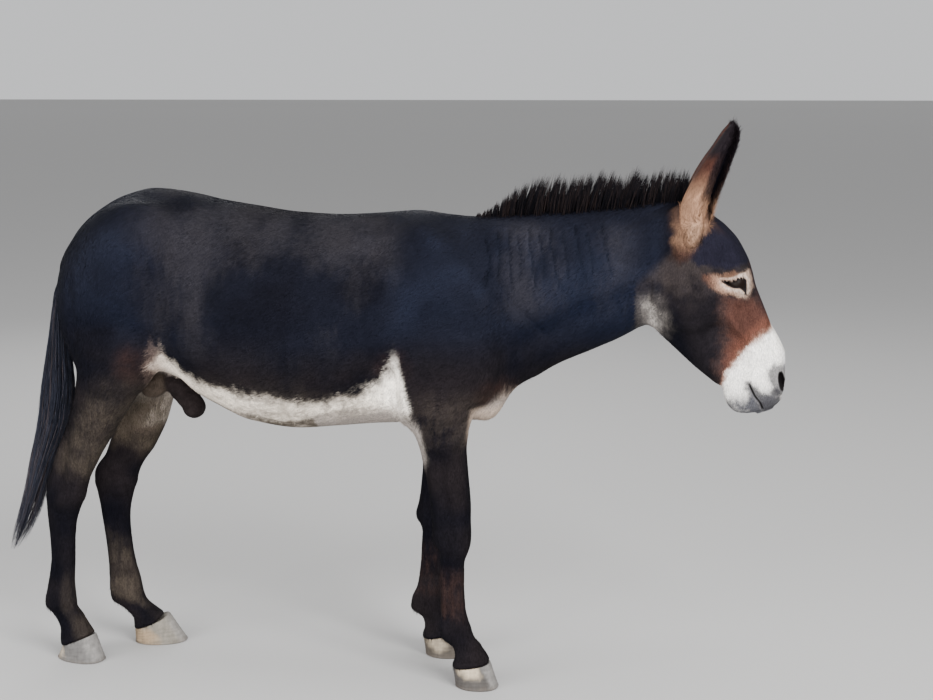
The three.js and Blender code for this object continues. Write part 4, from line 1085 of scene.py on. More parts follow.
def muzzle_colour(colour, down, side, front, white, ragged):
    """Grey skin round the nostrils and along the lips and grey hair on the chin, with painted shade along the
    nose's front, in the mouth's crease, in the nostril and under it.
    """
    lips = outline_distance(GREY_LIPS, down, front) + 0.7 * ragged
    wing = outline_distance(GREY_WING, down, front) + 0.7 * ragged
    colour = toward(colour, LIP_GREY, 0.92 * smoothstep(5, -7, lips) * white)
    colour = toward(colour, WING_GREY, 0.85 * smoothstep(7, -9, wing) * white)
    # Painted shade: a dark spot under the nostril's wing.
    nostril_under_shade = smoothstep(20, 6, np.hypot(down - 486, front - 20))
    colour = toward(colour, NOSTRIL_UNDER_SHADE, 0.85 * nostril_under_shade * white)
    chin = smoothstep(440, 486, down + 0.5 * ragged - 0.2 * (front + 60)) * smoothstep(-22, -34, front)
    colour = toward(colour, CHIN_GREY, chin * (0.88 + 0.05 * ragged))
    lip = smoothstep(455, 500, down + 0.4 * ragged) * smoothstep(34, 4, front) * smoothstep(-30, -20, front)
    colour = toward(colour, LIP_EDGE, 0.9 * lip)
    # Painted shade: the white muzzle goes blue-grey along its front profile.
    profile = smoothstep(60, 82, front + 0.10 * (down - 400)) * smoothstep(380, 440, down)
    colour = toward(colour, NOSE_PROFILE_SHADE, 0.6 * profile * white)
    # Painted shade: a dark line along the mouth's crease.
    line = groove(HEAD_FOLDS["mouth"][0], down, front)
    colour = toward(colour, MOUTH_CREASE_SHADE, smoothstep(3.4, 1.2, line) * (side > 6))
    # Painted shade: the nostril's hollow is darkened.
    hole = ellipsoid(NOSTRIL, down, side, front)
    return toward(colour, NOSTRIL_SHADE, smoothstep(5.0, 1.0, hole) * (side > 16))


def ear_angle(x, y, z):
    """Degrees round an ear from the middle of its opening, and the opening's half angle."""
    _, cx, _, _, opening = ear_at(z)
    turn = math.radians(EAR_TURN)
    dx, dy = x - cx, np.sign(y) * y - ear_middle(z)
    forward = dx * math.cos(turn) - dy * math.sin(turn)
    out = -dx * math.sin(turn) - dy * math.cos(turn)
    return np.degrees(np.arctan2(out, forward)), opening / 2


def ear_colour(x, y, z, normals):
    outer = smoothstep(-0.2, 0.25, ear_side(x, y, z, normals))
    height = smoothstep(1120, 1366, z) + 0.03 * wobble(x, y, z, 14)
    angle, rim = ear_angle(x, y, z)
    colour = toward(np.tile(EAR_TAN, (len(x), 1)), EAR_BROWN, smoothstep(0.10, 0.66, height))
    streaks = smooth_noise((x + 0.3 * z) / 4, y / 4, z / 26)
    colour = colour * (1 + 0.32 * streaks)[:, None]
    colour = toward(colour, EAR_BLACK, smoothstep(0.72, 0.82, height))
    back = smoothstep(150, 175, np.abs(angle)) * smoothstep(0.15, 0.5, height)
    colour = toward(colour, EAR_BACK, 0.7 * back)
    edge = smoothstep(rim + 20, rim + 7, np.abs(angle)) * smoothstep(0.04, 0.30, height)
    colour = toward(colour, EAR_BLACK, 0.9 * edge * outer)
    # Painted shade: the inside of the ear is dark brown, going to black further up.
    inner = toward(np.tile(EAR_INSIDE_SHADE, (len(x), 1)), EAR_BLACK, smoothstep(0.1, 0.4, height))
    return toward(inner, colour, outer)


def markings_and_painted_light(points, normals):
    """The colour of the coat at each point, in tables' millimetres: its markings, with painted sky sheen and
    painted shade.
    """
    x, y, z = points.T
    colour = body_colour(x, y, z, normals)
    for name in legs:
        clear_of_tail = (z < 630) | (x > -1040)
        mask = beside(name, x, y) & (z < 800) & clear_of_tail
        colour[mask] = leg_colour(colour[mask], name, x[mask], y[mask], z[mask])
    # Painted shade: the coat is darkened along the neck's wrinkles.
    neck_crease_shade_zone = (x > -10) & (x < 320) & (z > 970) & (z < 1130)
    for name, (line, width, _) in BODY_FOLDS.items():
        if name.startswith("neck"):
            depth = np.exp(-(groove(line, x[neck_crease_shade_zone], z[neck_crease_shade_zone]) / width) ** 2)
            colour[neck_crease_shade_zone] *= (1 - 0.75 * depth)[:, None]
    bare = toward(np.tile(BARE_SKIN, (len(x), 1)), BARE_BROWN, smoothstep(-796, -808, x))
    bare = bare * (1 + 0.35 * smooth_noise(x / 3, y / 3, z / 3))[:, None]
    colour = toward(colour, bare, bare_share(x, y, z))
    down, front = head_frame(x, z)
    share = smoothstep(-16, 14, down - 96 + 0.30 * (front + 100)) * (x > 360)
    mask = x > 350
    colour[mask] = toward(colour[mask], head_colour(x[mask], y[mask], z[mask]), share[mask])
    at_ear = ear_share(x, y, z)
    rim = outline_distance(EAR_FOOT, x, z) + 5 * wobble(x, y, z, 18)
    tan = toward(np.tile(EAR_FOOT_BROWN, (len(x), 1)), EAR_TAN, smoothstep(1066, 1100, z))
    tan = toward(tan, EAR_FOOT_CREAM, 0.6 * np.exp(-((x - 494) / 16) ** 2 - ((z - 1122) / 28) ** 2))
    # Painted shade: the tan at the ear's foot is darkened towards the back of the head and lower down.
    tan = tan * (0.34 + 0.5 * smoothstep(440, 486, x) + 0.16 * smoothstep(1110, 1160, z))[:, None]
    foot = smoothstep(9, -13, rim) * smoothstep(34, 52, np.abs(y)) * (x > 400) * (z > 1000)
    swirl = smooth_noise((x + 0.4 * z) / 4, y / 4, (z - 0.5 * x) / 22)
    colour = toward(colour, tan * (1 + 0.42 * swirl)[:, None], foot)
    mask = at_ear > 0
    tint = ear_colour(x[mask], y[mask], z[mask], normals[mask])
    colour[mask] = toward(colour[mask], tint, at_ear[mask])
    return np.clip(colour, 0, 1)


# ------------------------------------------------------------------ the lie of the coat

def lie_of_coat(points, normals):
    """Unit vectors along the hair, in the skin's own plane."""
    x, y, z = points.T
    flow = np.stack([np.full(len(x), -1.0), np.zeros(len(x)), -0.42 - 0.35 * smoothstep(900, 1150, z)], 1)
    rump = smoothstep(-820, -960, x)[:, None]
    flow = flow * (1 - rump) + np.array([-0.35, 0, -1.0]) * rump
    neck = (smoothstep(-60, 60, x) * smoothstep(420, 380, x))[:, None]
    flow = flow * (1 - neck) + np.array([-0.72, 0, -0.62]) * neck
    breast = (smoothstep(-60, 20, x) * smoothstep(860, 760, z) * smoothstep(200, 120, x))[:, None]
    flow = flow * (1 - breast) + np.array([-0.15, 0, -1.0]) * breast
    leg = smoothstep(740, 620, z + 0.1 * np.abs(y))[:, None] * (normals[:, 2:3] > -0.6)
    flow = flow * (1 - leg) + np.array([-0.12, 0, -1.0]) * leg
    down, front = head_frame(x, z)
    along, toward_face = np.array([HEAD_COS, 0, HEAD_SIN]), np.array([-HEAD_SIN, 0, HEAD_COS])
    head_way = along * 0.8 - toward_face * (0.15 + 0.75 * smoothstep(20, -90, front))[:, None]
    on_head = (smoothstep(400, 450, x) * smoothstep(20, 60, down))[:, None]
    flow = flow * (1 - on_head) + head_way * on_head
    ear = ear_share(x, y, z)[:, None]
    flow = flow * (1 - ear) + np.array([0.25, 0, 1.0]) * ear
    flow = flow + 0.10 * np.stack([wobble(x, y, z, 60), wobble(y, z, x, 60), wobble(z, x, y, 60)], 1)
    flow = flow - normals * (flow * normals).sum(1, keepdims=True)
    return flow / np.maximum(np.linalg.norm(flow, axis=1, keepdims=True), 1e-6)


def coat_style(points, normals):
    """Length and width of the hairs in millimetres, how far they stand off, and how many grow."""
    x, y, z = points.T
    down, front = head_frame(x, z)
    n = len(x)
    length, width, lift, grow = np.full(n, 15.0), np.full(n, 1.95), np.full(n, 0.10), np.ones(n)
    height = belly_border(x)[1]
    belly = smoothstep(16, -12, z - height) * smoothstep(600, 640, z) * smoothstep(-860, -800, x)
    length, lift = length + 11 * belly, lift + 0.16 * belly
    edge = np.exp(-((z - height) / 12) ** 2) * smoothstep(-840, -780, x) * smoothstep(60, 0, x)
    length, lift = length + 8 * edge, lift + 0.10 * edge
    leg = smoothstep(700, 560, z)
    length, width = length * (1 - leg) + 9.5 * leg, width * (1 - leg) + 1.55 * leg
    for name in legs:
        mask = beside(name, x, y) & (z < 260)
        u, _ = leg_frame(name, x[mask], y[mask], z[mask])
        over = z[mask] - coronet_height(name, u)
        feather = smoothstep(-14, -30, u) * smoothstep(230, 170, z[mask])
        crown = smoothstep(26, 6, over)
        length[mask] += 11 * feather + 9 * crown
        lift[mask] += 0.14 * feather + 0.24 * crown
        grow[mask] *= np.where(over < 1.0, 0, 1 + 0.6 * crown)
    on_head = smoothstep(400, 450, x) * smoothstep(20, 70, down)
    length, width = length * (1 - on_head) + 8.0 * on_head, width * (1 - on_head) + 1.22 * on_head
    muzzle = smoothstep(400, 450, down) * on_head
    length, width = length - 3.5 * muzzle, width - 0.25 * muzzle
    patch = smoothstep(16, -12, ellipsoid(THROAT_PATCH, down, np.abs(y), front)) * (x > 340)
    length, lift = length + 12 * patch, lift + 0.22 * patch
    jaw = smoothstep(26, 8, front + 202 - 0.42 * np.maximum(down - 210, 0)) * (x > 380)
    length, lift = length + 5 * jaw, lift + 0.12 * jaw
    ear = ear_share(x, y, z)
    inner = ear * smoothstep(0.1, -0.3, ear_side(x, y, z, normals))
    base = smoothstep(1215, 1130, z) * smoothstep(40, 60, np.abs(y)) * (x > 420) * smoothstep(1060, 1100, z)
    angle, rim = ear_angle(x, y, z)
    fringe = ear * smoothstep(rim + 16, rim + 4, np.abs(angle))
    tip = ear * smoothstep(1338, 1358, z)
    length = length * (1 - ear) + 8.5 * ear + 7 * base + 6 * inner + 7 * fringe - 3 * tip
    width = width * (1 - ear) + 1.28 * ear
    lift = lift + 0.10 * base + 0.18 * inner + 0.30 * fringe
    grow = grow * (1 - bare_share(x, y, z))
    grow = grow * np.where((eye_opening(down, front) < 4.0) & (np.abs(y) > 40) & (x > 500), 0, 1)
    grow = grow * np.where(ellipsoid(NOSTRIL, down, np.abs(y), front) < 5, 0, 1)
    lips = groove(HEAD_FOLDS["mouth"][0], down, front)
    grow = grow * np.where((lips < 5) & (x > 560), 0, 1)
    grow = grow * np.where((x > 560) & (down > 505), 0.3, 1)
    return length, width, lift, grow


# ------------------------------------------------------------------ hairs as thin solid slivers

MAP_PATCH = 0.0015                # half the size of a hair's patch on its map


def unit(vectors):
    return vectors / np.maximum(np.linalg.norm(vectors, axis=1, keepdims=True), 1e-9)


def sliver_mesh(name, roots, ways, normals, length, width, bend, colours, maps, segments=1, taper=0.75):
    """Hairs as thin three-sided slivers. A hair starts along its way and curves by bend towards its end."""
    n = len(roots)
    across = unit(np.cross(ways, normals))
    up = np.cross(across, ways)
    verts = np.empty((n, 3 * segments + 1, 3))
    tints = np.empty((n, 3 * segments + 1, 4))
    spots = np.empty((n, 3 * segments + 1, 2))
    for k in range(segments + 1):
        t = k / segments
        middle = roots + length[:, None] * (t * ways + t * t * bend)
        half = 0.5 * width * (1 - t) ** taper
        shade = 0.72 + 0.40 * t
        if k == segments:
            places = [(slice(3 * k, 3 * k + 1), middle[:, None])]
        else:
            sides = np.stack([
                middle - across * half[:, None], middle + across * half[:, None],
                middle + up * (0.45 * half)[:, None],
            ], 1)
            places = [(slice(3 * k, 3 * k + 3), sides)]
        for where, value in places:
            verts[:, where] = value
            tints[:, where, :3] = colours[:, None, :3] * shade
            tints[:, where, 3] = colours[:, None, 3]
            spots[:, where, 1] = maps[:, None, 1] + MAP_PATCH * (2 * t - 1)
            spots[:, where, 0] = maps[:, None, 0] + MAP_PATCH * np.array([-1, 1, 0])[: value.shape[1]]
    quads, thirds, flat_thirds, flat_quads = [], [], [], []
    for k in range(segments - 1):
        a = 3 * k
        quads += [[a, a + 2, a + 5, a + 3], [a + 2, a + 1, a + 4, a + 5]]
        flat_quads += [[a + 1, a, a + 3, a + 4]]
    a = 3 * (segments - 1)
    thirds += [[a, a + 2, a + 3], [a + 2, a + 1, a + 3]]
    flat_thirds += [[a + 1, a, a + 3], [0, 1, 2]]
    offset = (np.arange(n) * (3 * segments + 1))[:, None, None]
    faces, smooth = [], []
    for group, soft in ((quads, True), (thirds, True), (flat_quads, False), (flat_thirds, False)):
        if group:
            part = (np.array(group)[None] + offset).reshape(-1, len(group[0]))
            faces.append(part[:, ::-1])
            smooth.append(np.full(len(part), soft))
    mesh = mesh_from(name, to_row(verts.reshape(-1, 3)), faces)
    mesh.polygons.foreach_set("use_smooth", np.concatenate(smooth))
    paint(mesh, tints.reshape(-1, 4))
    store_map(mesh, spots)
    return mesh


def paint(mesh, tints):
    """Stores a colour, and in its alpha how dull the hair is, for each vertex."""
    layer = mesh.color_attributes.new("coat", "FLOAT_COLOR", "POINT")
    layer.data.foreach_set("color", np.asarray(tints, np.float32).ravel())


def dullness(colours, points):
    """Near 0 on the glossy rump, back, shoulder and neck, higher below, on the head and where pale."""
    x, y, z = points.T
    low = smoothstep(930, 780, z) * smoothstep(440, 380, x)
    thigh = smoothstep(-820, -900, x) * smoothstep(980, 860, z)
    face = smoothstep(400, 440, x)
    barrel = smoothstep(-860, -740, x) * smoothstep(-150, -260, x)
    patchy = 0.5 * barrel + 0.32 * smoothstep(-0.5, 0.7, wobble(x, y, z, 90))
    dull = np.maximum(np.maximum(low, thigh), np.maximum(0.85 * face, patchy))
    return np.maximum(0.9 * dull, smoothstep(0.02, 0.20, colours.mean(1)))


def flat_maps(points, part):
    """Lays a region of skin flat: along it and round it, both as lengths, scaled to fill the map."""
    x, y, z = points.T
    down, front = head_frame(x, z)
    if part == "head":
        along, round_ = down, np.arctan2(y, front + 50) * 70
    elif part.startswith("ear"):
        along, round_ = z, np.arctan2(y - np.sign(y) * 60, x - 520) * 40
    elif part.endswith("leg"):
        u, v = leg_frame(part[:-len("_leg")], x, y, z)
        along, round_ = z, np.arctan2(v, u) * 45
    else:
        along, round_ = x, np.arctan2(y, z - 880) * 190
    low = np.array([along.min(), round_.min()])
    size = max(along.max() - low[0], round_.max() - low[1], 1.0)
    return 0.01 + 0.98 * (np.stack([along, round_], 1) - low) / size


def scatter_on(mesh, rng, cover):
    """Roots spread over the skin: as many hairs as cover it so many times over."""
    mesh.calc_loop_triangles()
    corners = np.empty(len(mesh.loop_triangles) * 3, np.int32)
    mesh.loop_triangles.foreach_get("vertices", corners)
    corners = corners.reshape(-1, 3)
    points = to_tables(points_of(mesh))
    normals = normals_of(mesh)
    a, b, c = points[corners[:, 0]], points[corners[:, 1]], points[corners[:, 2]]
    area = np.linalg.norm(np.cross(b - a, c - a), axis=1) / 2
    middles, facing = (a + b + c) / 3, unit(normals[corners].sum(1))
    length, width, _, grow = coat_style(middles, facing)
    wanted = cover * grow * area / (0.5 * length * width)
    total = np.cumsum(wanted)
    count = int(total[-1] * DETAIL)
    picks = np.searchsorted(total, (np.arange(count) + rng.random(count)) / DETAIL)
    picks = np.minimum(picks, len(corners) - 1)
    r1, r2 = np.sqrt(rng.random(count)), rng.random(count)
    weights = np.stack([1 - r1, r1 * (1 - r2), r1 * r2], 1)
    roots = (points[corners[picks]] * weights[:, :, None]).sum(1)
    return roots, unit((normals[corners[picks]] * weights[:, :, None]).sum(1))


def coat_parts(points):
    """The name of the coat piece that each root belongs to."""
    x, y, z = points.T
    side = np.where(y > 0, "left", "right")
    names = np.where(x < -560, "coat_rump_", np.where(x < -120, "coat_barrel_", "coat_shoulder_"))
    names = np.char.add(names.astype("U24"), side)
    down, _ = head_frame(x, z)
    names = np.where((x > 395) & (down > -30), np.char.add(np.full(len(x), "coat_head_", "U24"), side), names)
    names = np.where(ear_share(x, y, z) > 0.5, np.char.add(np.full(len(x), "coat_ear_", "U24"), side), names)
    low = z < 640
    leg = np.where(x > MID_BODY, "fore_", "hind_").astype("U24")
    leg = np.char.add(np.char.add(np.char.add(np.full(len(x), "coat_", "U24"), leg), side), "_leg")
    return np.where(low, leg, names)


def make_coat(skin):
    """Short hair all over the skin, thin and flat where the coat is sleek, longer where it is loose."""
    rng = np.random.default_rng(7)
    roots, normals = scatter_on(skin.data, rng, cover=0.95)
    length, width, lift, _ = coat_style(roots, normals)
    flow = lie_of_coat(roots, normals)
    colours = markings_and_painted_light(roots + rng.normal(0, 1.6, roots.shape), normals)
    n = len(roots)
    side = np.cross(normals, flow)
    flow = unit(flow + side * rng.normal(0, 0.10 + 0.5 * lift, n)[:, None])
    stand = np.clip(lift * rng.uniform(0.6, 1.5, n), 0.04, 0.8)[:, None]
    ways = unit(flow * np.sqrt(1 - stand ** 2) + normals * stand)
    tilt = unit(normals + side * rng.normal(0, 0.16, n)[:, None])
    bend = -normals * stand * 0.55
    length = length * rng.uniform(0.7, 1.25, n)
    width = width * rng.uniform(0.8, 1.2, n)
    colours = colours * rng.uniform(0.74, 1.28, n)[:, None]
    colours = np.concatenate([colours, dullness(colours, roots)[:, None]], 1)
    roots = roots - normals * 0.5
    names = coat_parts(roots)
    pieces = []
    for name in sorted(set(names)):
        own = names == name
        long_hair = own & (length > 17) & (lift > 0.15)
        for suffix, mask, segments in (("", own & ~long_hair, 1), ("_long", long_hair, 2)):
            if mask.sum() > 20:
                part = name[len("coat_"):]
                maps = flat_maps(roots[mask], part if part.endswith("leg") else part.split("_")[0])
                mesh = sliver_mesh(
                    name + suffix, roots[mask], ways[mask], tilt[mask], length[mask], width[mask], bend[mask],
                    colours[mask], maps, segments)
                pieces.append(add_object(name + suffix, mesh))
    return pieces


# ------------------------------------------------------------------ mane and tail

MANE_HAIRS = 5200
MANE_HALF_WIDTH = 19.0
LOCK_WIDTH = 9.0                  # along the crest
TAIL_HAIRS = 2600
TAIL_HAIR_POINTS = 9
TAIL_LOCKS = 9


def make_mane():
    """Short upright hair in ragged locks along the crest."""
    rng = np.random.default_rng(11)
    n = int(MANE_HAIRS * DETAIL)
    x = rng.uniform(MANE[0][0] - 6, MANE[-1][0] - 4, n)
    y = np.clip(rng.normal(0, 8.5, n), -MANE_HALF_WIDTH, MANE_HALF_WIDTH)
    _, crest, tips = curve(MANE)(x)
    roots = np.stack([x, y, crest - 6 - 0.02 * y * y], 1)
    lock = np.floor((x + 4 * np.sin(x * 0.37)) / LOCK_WIDTH)
    chance = np.modf(np.abs(np.sin(lock * 12.9898) * 43758.5))[0]
    height = (tips - crest + 8) * (0.80 + 0.30 * chance) * rng.uniform(0.74, 1.08, n)
    height = height * (1 - 0.25 * (np.abs(y) / MANE_HALF_WIDTH) ** 2)
    forward = 0.10 + 0.20 * (chance - 0.5) + rng.normal(0, 0.05, n)
    ways = unit(np.stack([forward, y / 60 + rng.normal(0, 0.04, n), np.ones(n)], 1))
    pull = (lock + 0.5) * LOCK_WIDTH - x
    bend = np.stack([0.10 + 0.25 * pull / 30, rng.normal(0, 0.05, n), np.zeros(n)], 1)
    facing = unit(np.stack([rng.normal(0, 0.6, n), np.where(y > 0, 1.0, -1.0), np.zeros(n)], 1))
    width = rng.uniform(1.6, 3.0, n)
    brown = smoothstep(0.55, 1.0, rng.random(n))[:, None] * np.array([0.016, 0.010, 0.008])
    colours = np.array([0.0038, 0.0036, 0.0046]) + brown
    colours = np.concatenate([colours, np.full((n, 1), 0.8)], 1)
    round_ = (y + MANE_HALF_WIDTH) / (2 * MANE_HALF_WIDTH) * 0.2
    maps = 0.02 + 0.96 * np.stack([(x - x.min()) / (x.max() - x.min()), round_], 1)
    mesh = sliver_mesh("mane_hair", roots, ways, facing, height, width, bend, colours, maps, 3, 0.9)
    return add_object("mane_hair", mesh)


def strand_mesh(name, centres, across, out, width, colours, maps):
    """Long hairs along given lines: centres is hair by point by axis."""
    n, count, _ = centres.shape
    half = 0.5 * width[:, None] * (1 - np.linspace(0, 1, count)[None] ** 3 * 0.9)
    sides = np.stack([
        centres - across * half[:, :, None], centres + across * half[:, :, None],
        centres + out * (0.6 * half)[:, :, None],
    ], 2)
    verts = sides.reshape(n, count * 3, 3)
    faces = []
    for k in range(count - 1):
        a = 3 * k
        faces += [[a, a + 2, a + 5, a + 3], [a + 2, a + 1, a + 4, a + 5], [a + 1, a, a + 3, a + 4]]
    ends = [[0, 1, 2], [3 * count - 3, 3 * count - 1, 3 * count - 2]]
    offset = (np.arange(n) * count * 3)[:, None, None]
    quads = (np.array(faces)[None] + offset).reshape(-1, 4)[:, ::-1]
    thirds = (np.array(ends)[None] + offset).reshape(-1, 3)[:, ::-1]
    mesh = mesh_from(name, to_row(verts.reshape(-1, 3)), [quads, thirds])
    along = np.linspace(0, 1, count)
    shade = (0.8 + 0.5 * along + 1.1 * along ** 5).repeat(3)
    tints = np.ones((n, count * 3, 4))
    tints[:, :, :3] = colours[:, None, :] * shade[None, :, None]
    tints[:, :, 3] = 0.2
    paint(mesh, tints.reshape(-1, 4))
    spots = np.empty((n, count * 3, 2))
    spots[:, :, 0] = maps[:, None, 0] + MAP_PATCH * np.tile([-1, 1, 0], count)[None]
    spots[:, :, 1] = maps[:, None, 1] + MAP_PATCH * (2 * along.repeat(3) - 1)[None]
    store_map(mesh, spots)
    return mesh


def make_tail():
    """Long hair from the end of the dock, hanging in loose locks that draw together into wisps."""
    rng = np.random.default_rng(23)
    n, count = int(TAIL_HAIRS * DETAIL), TAIL_HAIR_POINTS
    at = curve(TAIL)
    start = rng.uniform(0, 1, n) ** 0.8 * 205 + 775
    end = np.where(rng.random(n) < 0.6, rng.uniform(285, 430, n), rng.uniform(420, 640, n))
    end = np.maximum(np.where(rng.random(n) < 0.10, rng.uniform(260, 300, n), end), 259)
    turn = rng.uniform(0, 2 * math.pi, n)
    spread = np.sqrt(rng.uniform(0.05, 1.0, n))
    t = np.linspace(0, 1, count)[None]
    z = start[:, None] + (end - start)[:, None] * t
    _, cx, deep, wide = at(z)
    lock = np.floor(turn / (2 * math.pi) * TAIL_LOCKS)
    settle_in = smoothstep(560, 330, z)
    middle = (lock[:, None] + 0.5) * (2 * math.pi / TAIL_LOCKS)
    angle = turn[:, None] * (1 - 0.5 * settle_in) + middle * 0.5 * settle_in
    angle = angle + 0.22 * np.sin(5 * t + lock[:, None] * 1.9) * t
    fill = 0.86 + (spread[:, None] - 0.86) * smoothstep(0, 0.3, t)
    wave = 2.5 * np.sin(7 * t + turn[:, None] * 3) * t
    x = cx + deep * fill * np.cos(angle) + wave
    y = wide * fill * np.sin(angle) + wave * 0.6
    centres = np.stack([x, y, z], 2)
    out = np.stack([np.cos(angle), np.sin(angle), np.zeros_like(angle)], 2)
    across = np.stack([-np.sin(angle), np.cos(angle), np.zeros_like(angle)], 2)
    colours = np.array([0.0090, 0.0095, 0.0130]) * rng.uniform(0.5, 2.2, n)[:, None]
    colours = colours + (rng.random(n) < 0.16)[:, None] * np.array([0.022, 0.015, 0.012])
    maps = 0.02 + 0.96 * np.stack([turn / (2 * math.pi), (start - 745) / 235 * 0.5], 1)
    mesh = strand_mesh("tail_hair", centres, across, out, rng.uniform(1.3, 2.4, n), colours, maps)
    return add_object("tail_hair", mesh)


# ------------------------------------------------------------------ eyes and hooves

def make_eye(side):
    """A smooth ball with a clear bulge over the iris."""
    work = bmesh.new()
    bmesh.ops.create_uvsphere(work, u_segments=48, v_segments=32, radius=1.0)
    mesh = bpy.data.meshes.new(f"eyeball_{'left' if side > 0 else 'right'}")
    work.to_mesh(mesh)
    work.free()
    points = points_of(mesh)
    points = points[:, [0, 2, 1]] * np.array([1, side, 1])
    bulge = smoothstep(0.80, 1.0, points[:, 1] * side)
    points = points * (EYE_RADIUS + 1.0 * bulge)[:, None]
    centre = on_head(EYE[0], EYE[1], side * EYE[2])
    place_points(mesh, points + centre)
    if side > 0:
        mesh.flip_normals()
    for polygon in mesh.polygons:
        polygon.use_smooth = True
    mesh.update()
    return add_object(mesh.name, mesh)


HOOF_POINTS = 112
HOOF_ROWS = 30
HOOF_HALF_WIDTH = 41.0
HOOF_ROUNDNESS = 0.86             # 1 is an ellipse, and less is squarer
HEEL_NARROWING = 0.2
HOOF_TOP = (46.0, 34.0)           # half length and half width of the upper rim
# Horn, its heel or quarter patch, and the share of the wall that the patch takes back from the toe.
HOOF_COLOURS = {
    "fore_right": ((0.046, 0.041, 0.037), (0.38, 0.31, 0.22), (0.15, 1.0)),
    "fore_left": ((0.050, 0.041, 0.032), (0.22, 0.18, 0.13), (0.0, 0.85)),
    "hind_right": ((0.092, 0.087, 0.083), (0.30, 0.25, 0.19), (-0.85, 0.6)),
    "hind_left": ((0.140, 0.126, 0.104), (0.22, 0.16, 0.10), (-0.4, 0.35)),
}


def hoof_colours(name, points, low, high):
    """Grey horn with a cream patch, growth rings, a pale worn toe edge and dirt near the ground."""
    horn, patch, (along, up) = HOOF_COLOURS[name]
    hoof = HOOVES[name]
    turn = math.radians(hoof["turn"])
    u = (points[:, 0] - hoof["x"]) * math.cos(turn) + (points[:, 1] - hoof["y"]) * math.sin(turn)
    x, y, z = points.T
    share = np.clip((z - low) / (high - low), 0, 1)
    place = u / (hoof["length"] / 2) + 0.5 * (share - 0.3)
    spot = ((place - along) / 0.62) ** 2 + ((share - up) / 0.55) ** 2 + 0.35 * wobble(x, y, z, 12)
    colour = toward(np.tile(horn, (len(x), 1)), patch, smoothstep(1.6, 0.1, spot))
    toe = smoothstep(0.75, 1.05, place + 0.06 * wobble(x, y, z, 8))
    colour = toward(colour, (0.19, 0.18, 0.17), 0.7 * toe)
    rings = smooth_noise(x / 60, y / 60, z / 2.6 + x / 40)
    upright = smooth_noise(x / 2.5, y / 2.5, z / 40)
    blots = wobble(x, y, z, 9)
    colour = colour * (1 + 0.12 * rings + 0.05 * upright + 0.16 * blots)[:, None]
    return toward(colour, (0.085, 0.07, 0.058), 0.5 * smoothstep(14, 0, z + 5 * blots))


def hoof_outline(half_length, half_width):
    """A rounded toe, straighter quarters and a narrower heel."""
    angle = np.arange(HOOF_POINTS) / HOOF_POINTS * 2 * math.pi
    front, out = np.cos(angle), np.sin(angle)
    heel = np.where(front < 0, 1 - HEEL_NARROWING * front * front, 1.0)
    u = half_length * np.sign(front) * np.abs(front) ** HOOF_ROUNDNESS
    return u, half_width * heel * np.sign(out) * np.abs(out) ** HOOF_ROUNDNESS


def make_hoof(name):
    """Horn that slopes from the sloped coronet to a flat sole, with growth rings."""
    hoof = HOOVES[name]
    turn = math.radians(hoof["turn"])
    middle, slope = CORONETS[name]
    _, top_x, top_y, _ = (float(value) for value in leg_paths[name](np.array(middle)))
    low_u, low_v = hoof_outline(hoof["length"] / 2, HOOF_HALF_WIDTH)
    top_u, top_v = hoof_outline(*HOOF_TOP)
    top_z = middle + slope * top_u - 2.0

    def place(u, v, cx, cy, z):
        return np.stack([
            cx + u * math.cos(turn) - v * math.sin(turn), cy + u * math.sin(turn) + v * math.cos(turn),
            np.broadcast_to(z, np.shape(u)),
        ], 1)
    slide = hoof["slide"]
    low = place(low_u + slide, low_v, hoof["x"], hoof["y"], 0.0)
    top = place(top_u, top_v, top_x, top_y, top_z)
    middle_low = low.mean(0)
    rings = [middle_low + (low - middle_low) * np.array([0.80, 0.80, 1.0]), low + (middle_low - low) * 0.03]
    for k in range(1, HOOF_ROWS + 1):
        t = k / HOOF_ROWS
        wall = low + (top - low) * t
        centre = middle_low + (top.mean(0) - middle_low) * t
        ripple = 1 + 0.007 * np.sin(38 * t + 0.8 * np.cos(np.arange(HOOF_POINTS) / 9))
        flare = 1 + 0.02 * (1 - t) ** 4
        wall[:, :2] = centre[:2] + (wall[:, :2] - centre[:2]) * (ripple * flare)[:, None]
        if k == HOOF_ROWS:
            wall[:, :2] = centre[:2] + (wall[:, :2] - centre[:2]) * 0.97
        rings.append(wall)
    rim = rings[-1]
    rings.append(rim.mean(0) + (rim - rim.mean(0)) * np.array([0.8, 0.8, 1.0]) - np.array([0, 0, 5.0]))
    mesh = stack_mesh(f"horn_{name}", rings)
    points = to_tables(points_of(mesh))
    colours = hoof_colours(name, points, 0.0, middle)
    paint(mesh, np.concatenate([colours, np.ones((len(points), 1))], 1))
    return add_object(f"horn_{name}", mesh)


def stack_mesh(name, rings):
    """A closed mesh from rings of points, each end closed by a fan."""
    count = len(rings[0])
    row, i = np.meshgrid(np.arange(len(rings) - 1), np.arange(count), indexing="ij")
    a, b = row * count + i, row * count + (i + 1) % count
    walls = np.stack([a, b, b + count, a + count], -1).reshape(-1, 4)
    k = np.arange(count)
    after, top, last = (k + 1) % count, (len(rings) - 1) * count, len(rings) * count
    caps = np.concatenate([
        np.stack([after, k, np.full(count, last)], 1),
        np.stack([top + k, top + after, np.full(count, last + 1)], 1),
    ])
    points = np.concatenate(rings + [rings[0].mean(0)[None], rings[-1].mean(0)[None]])
    return mesh_from(name, to_row(points), [walls, caps])


# ------------------------------------------------------------------ materials

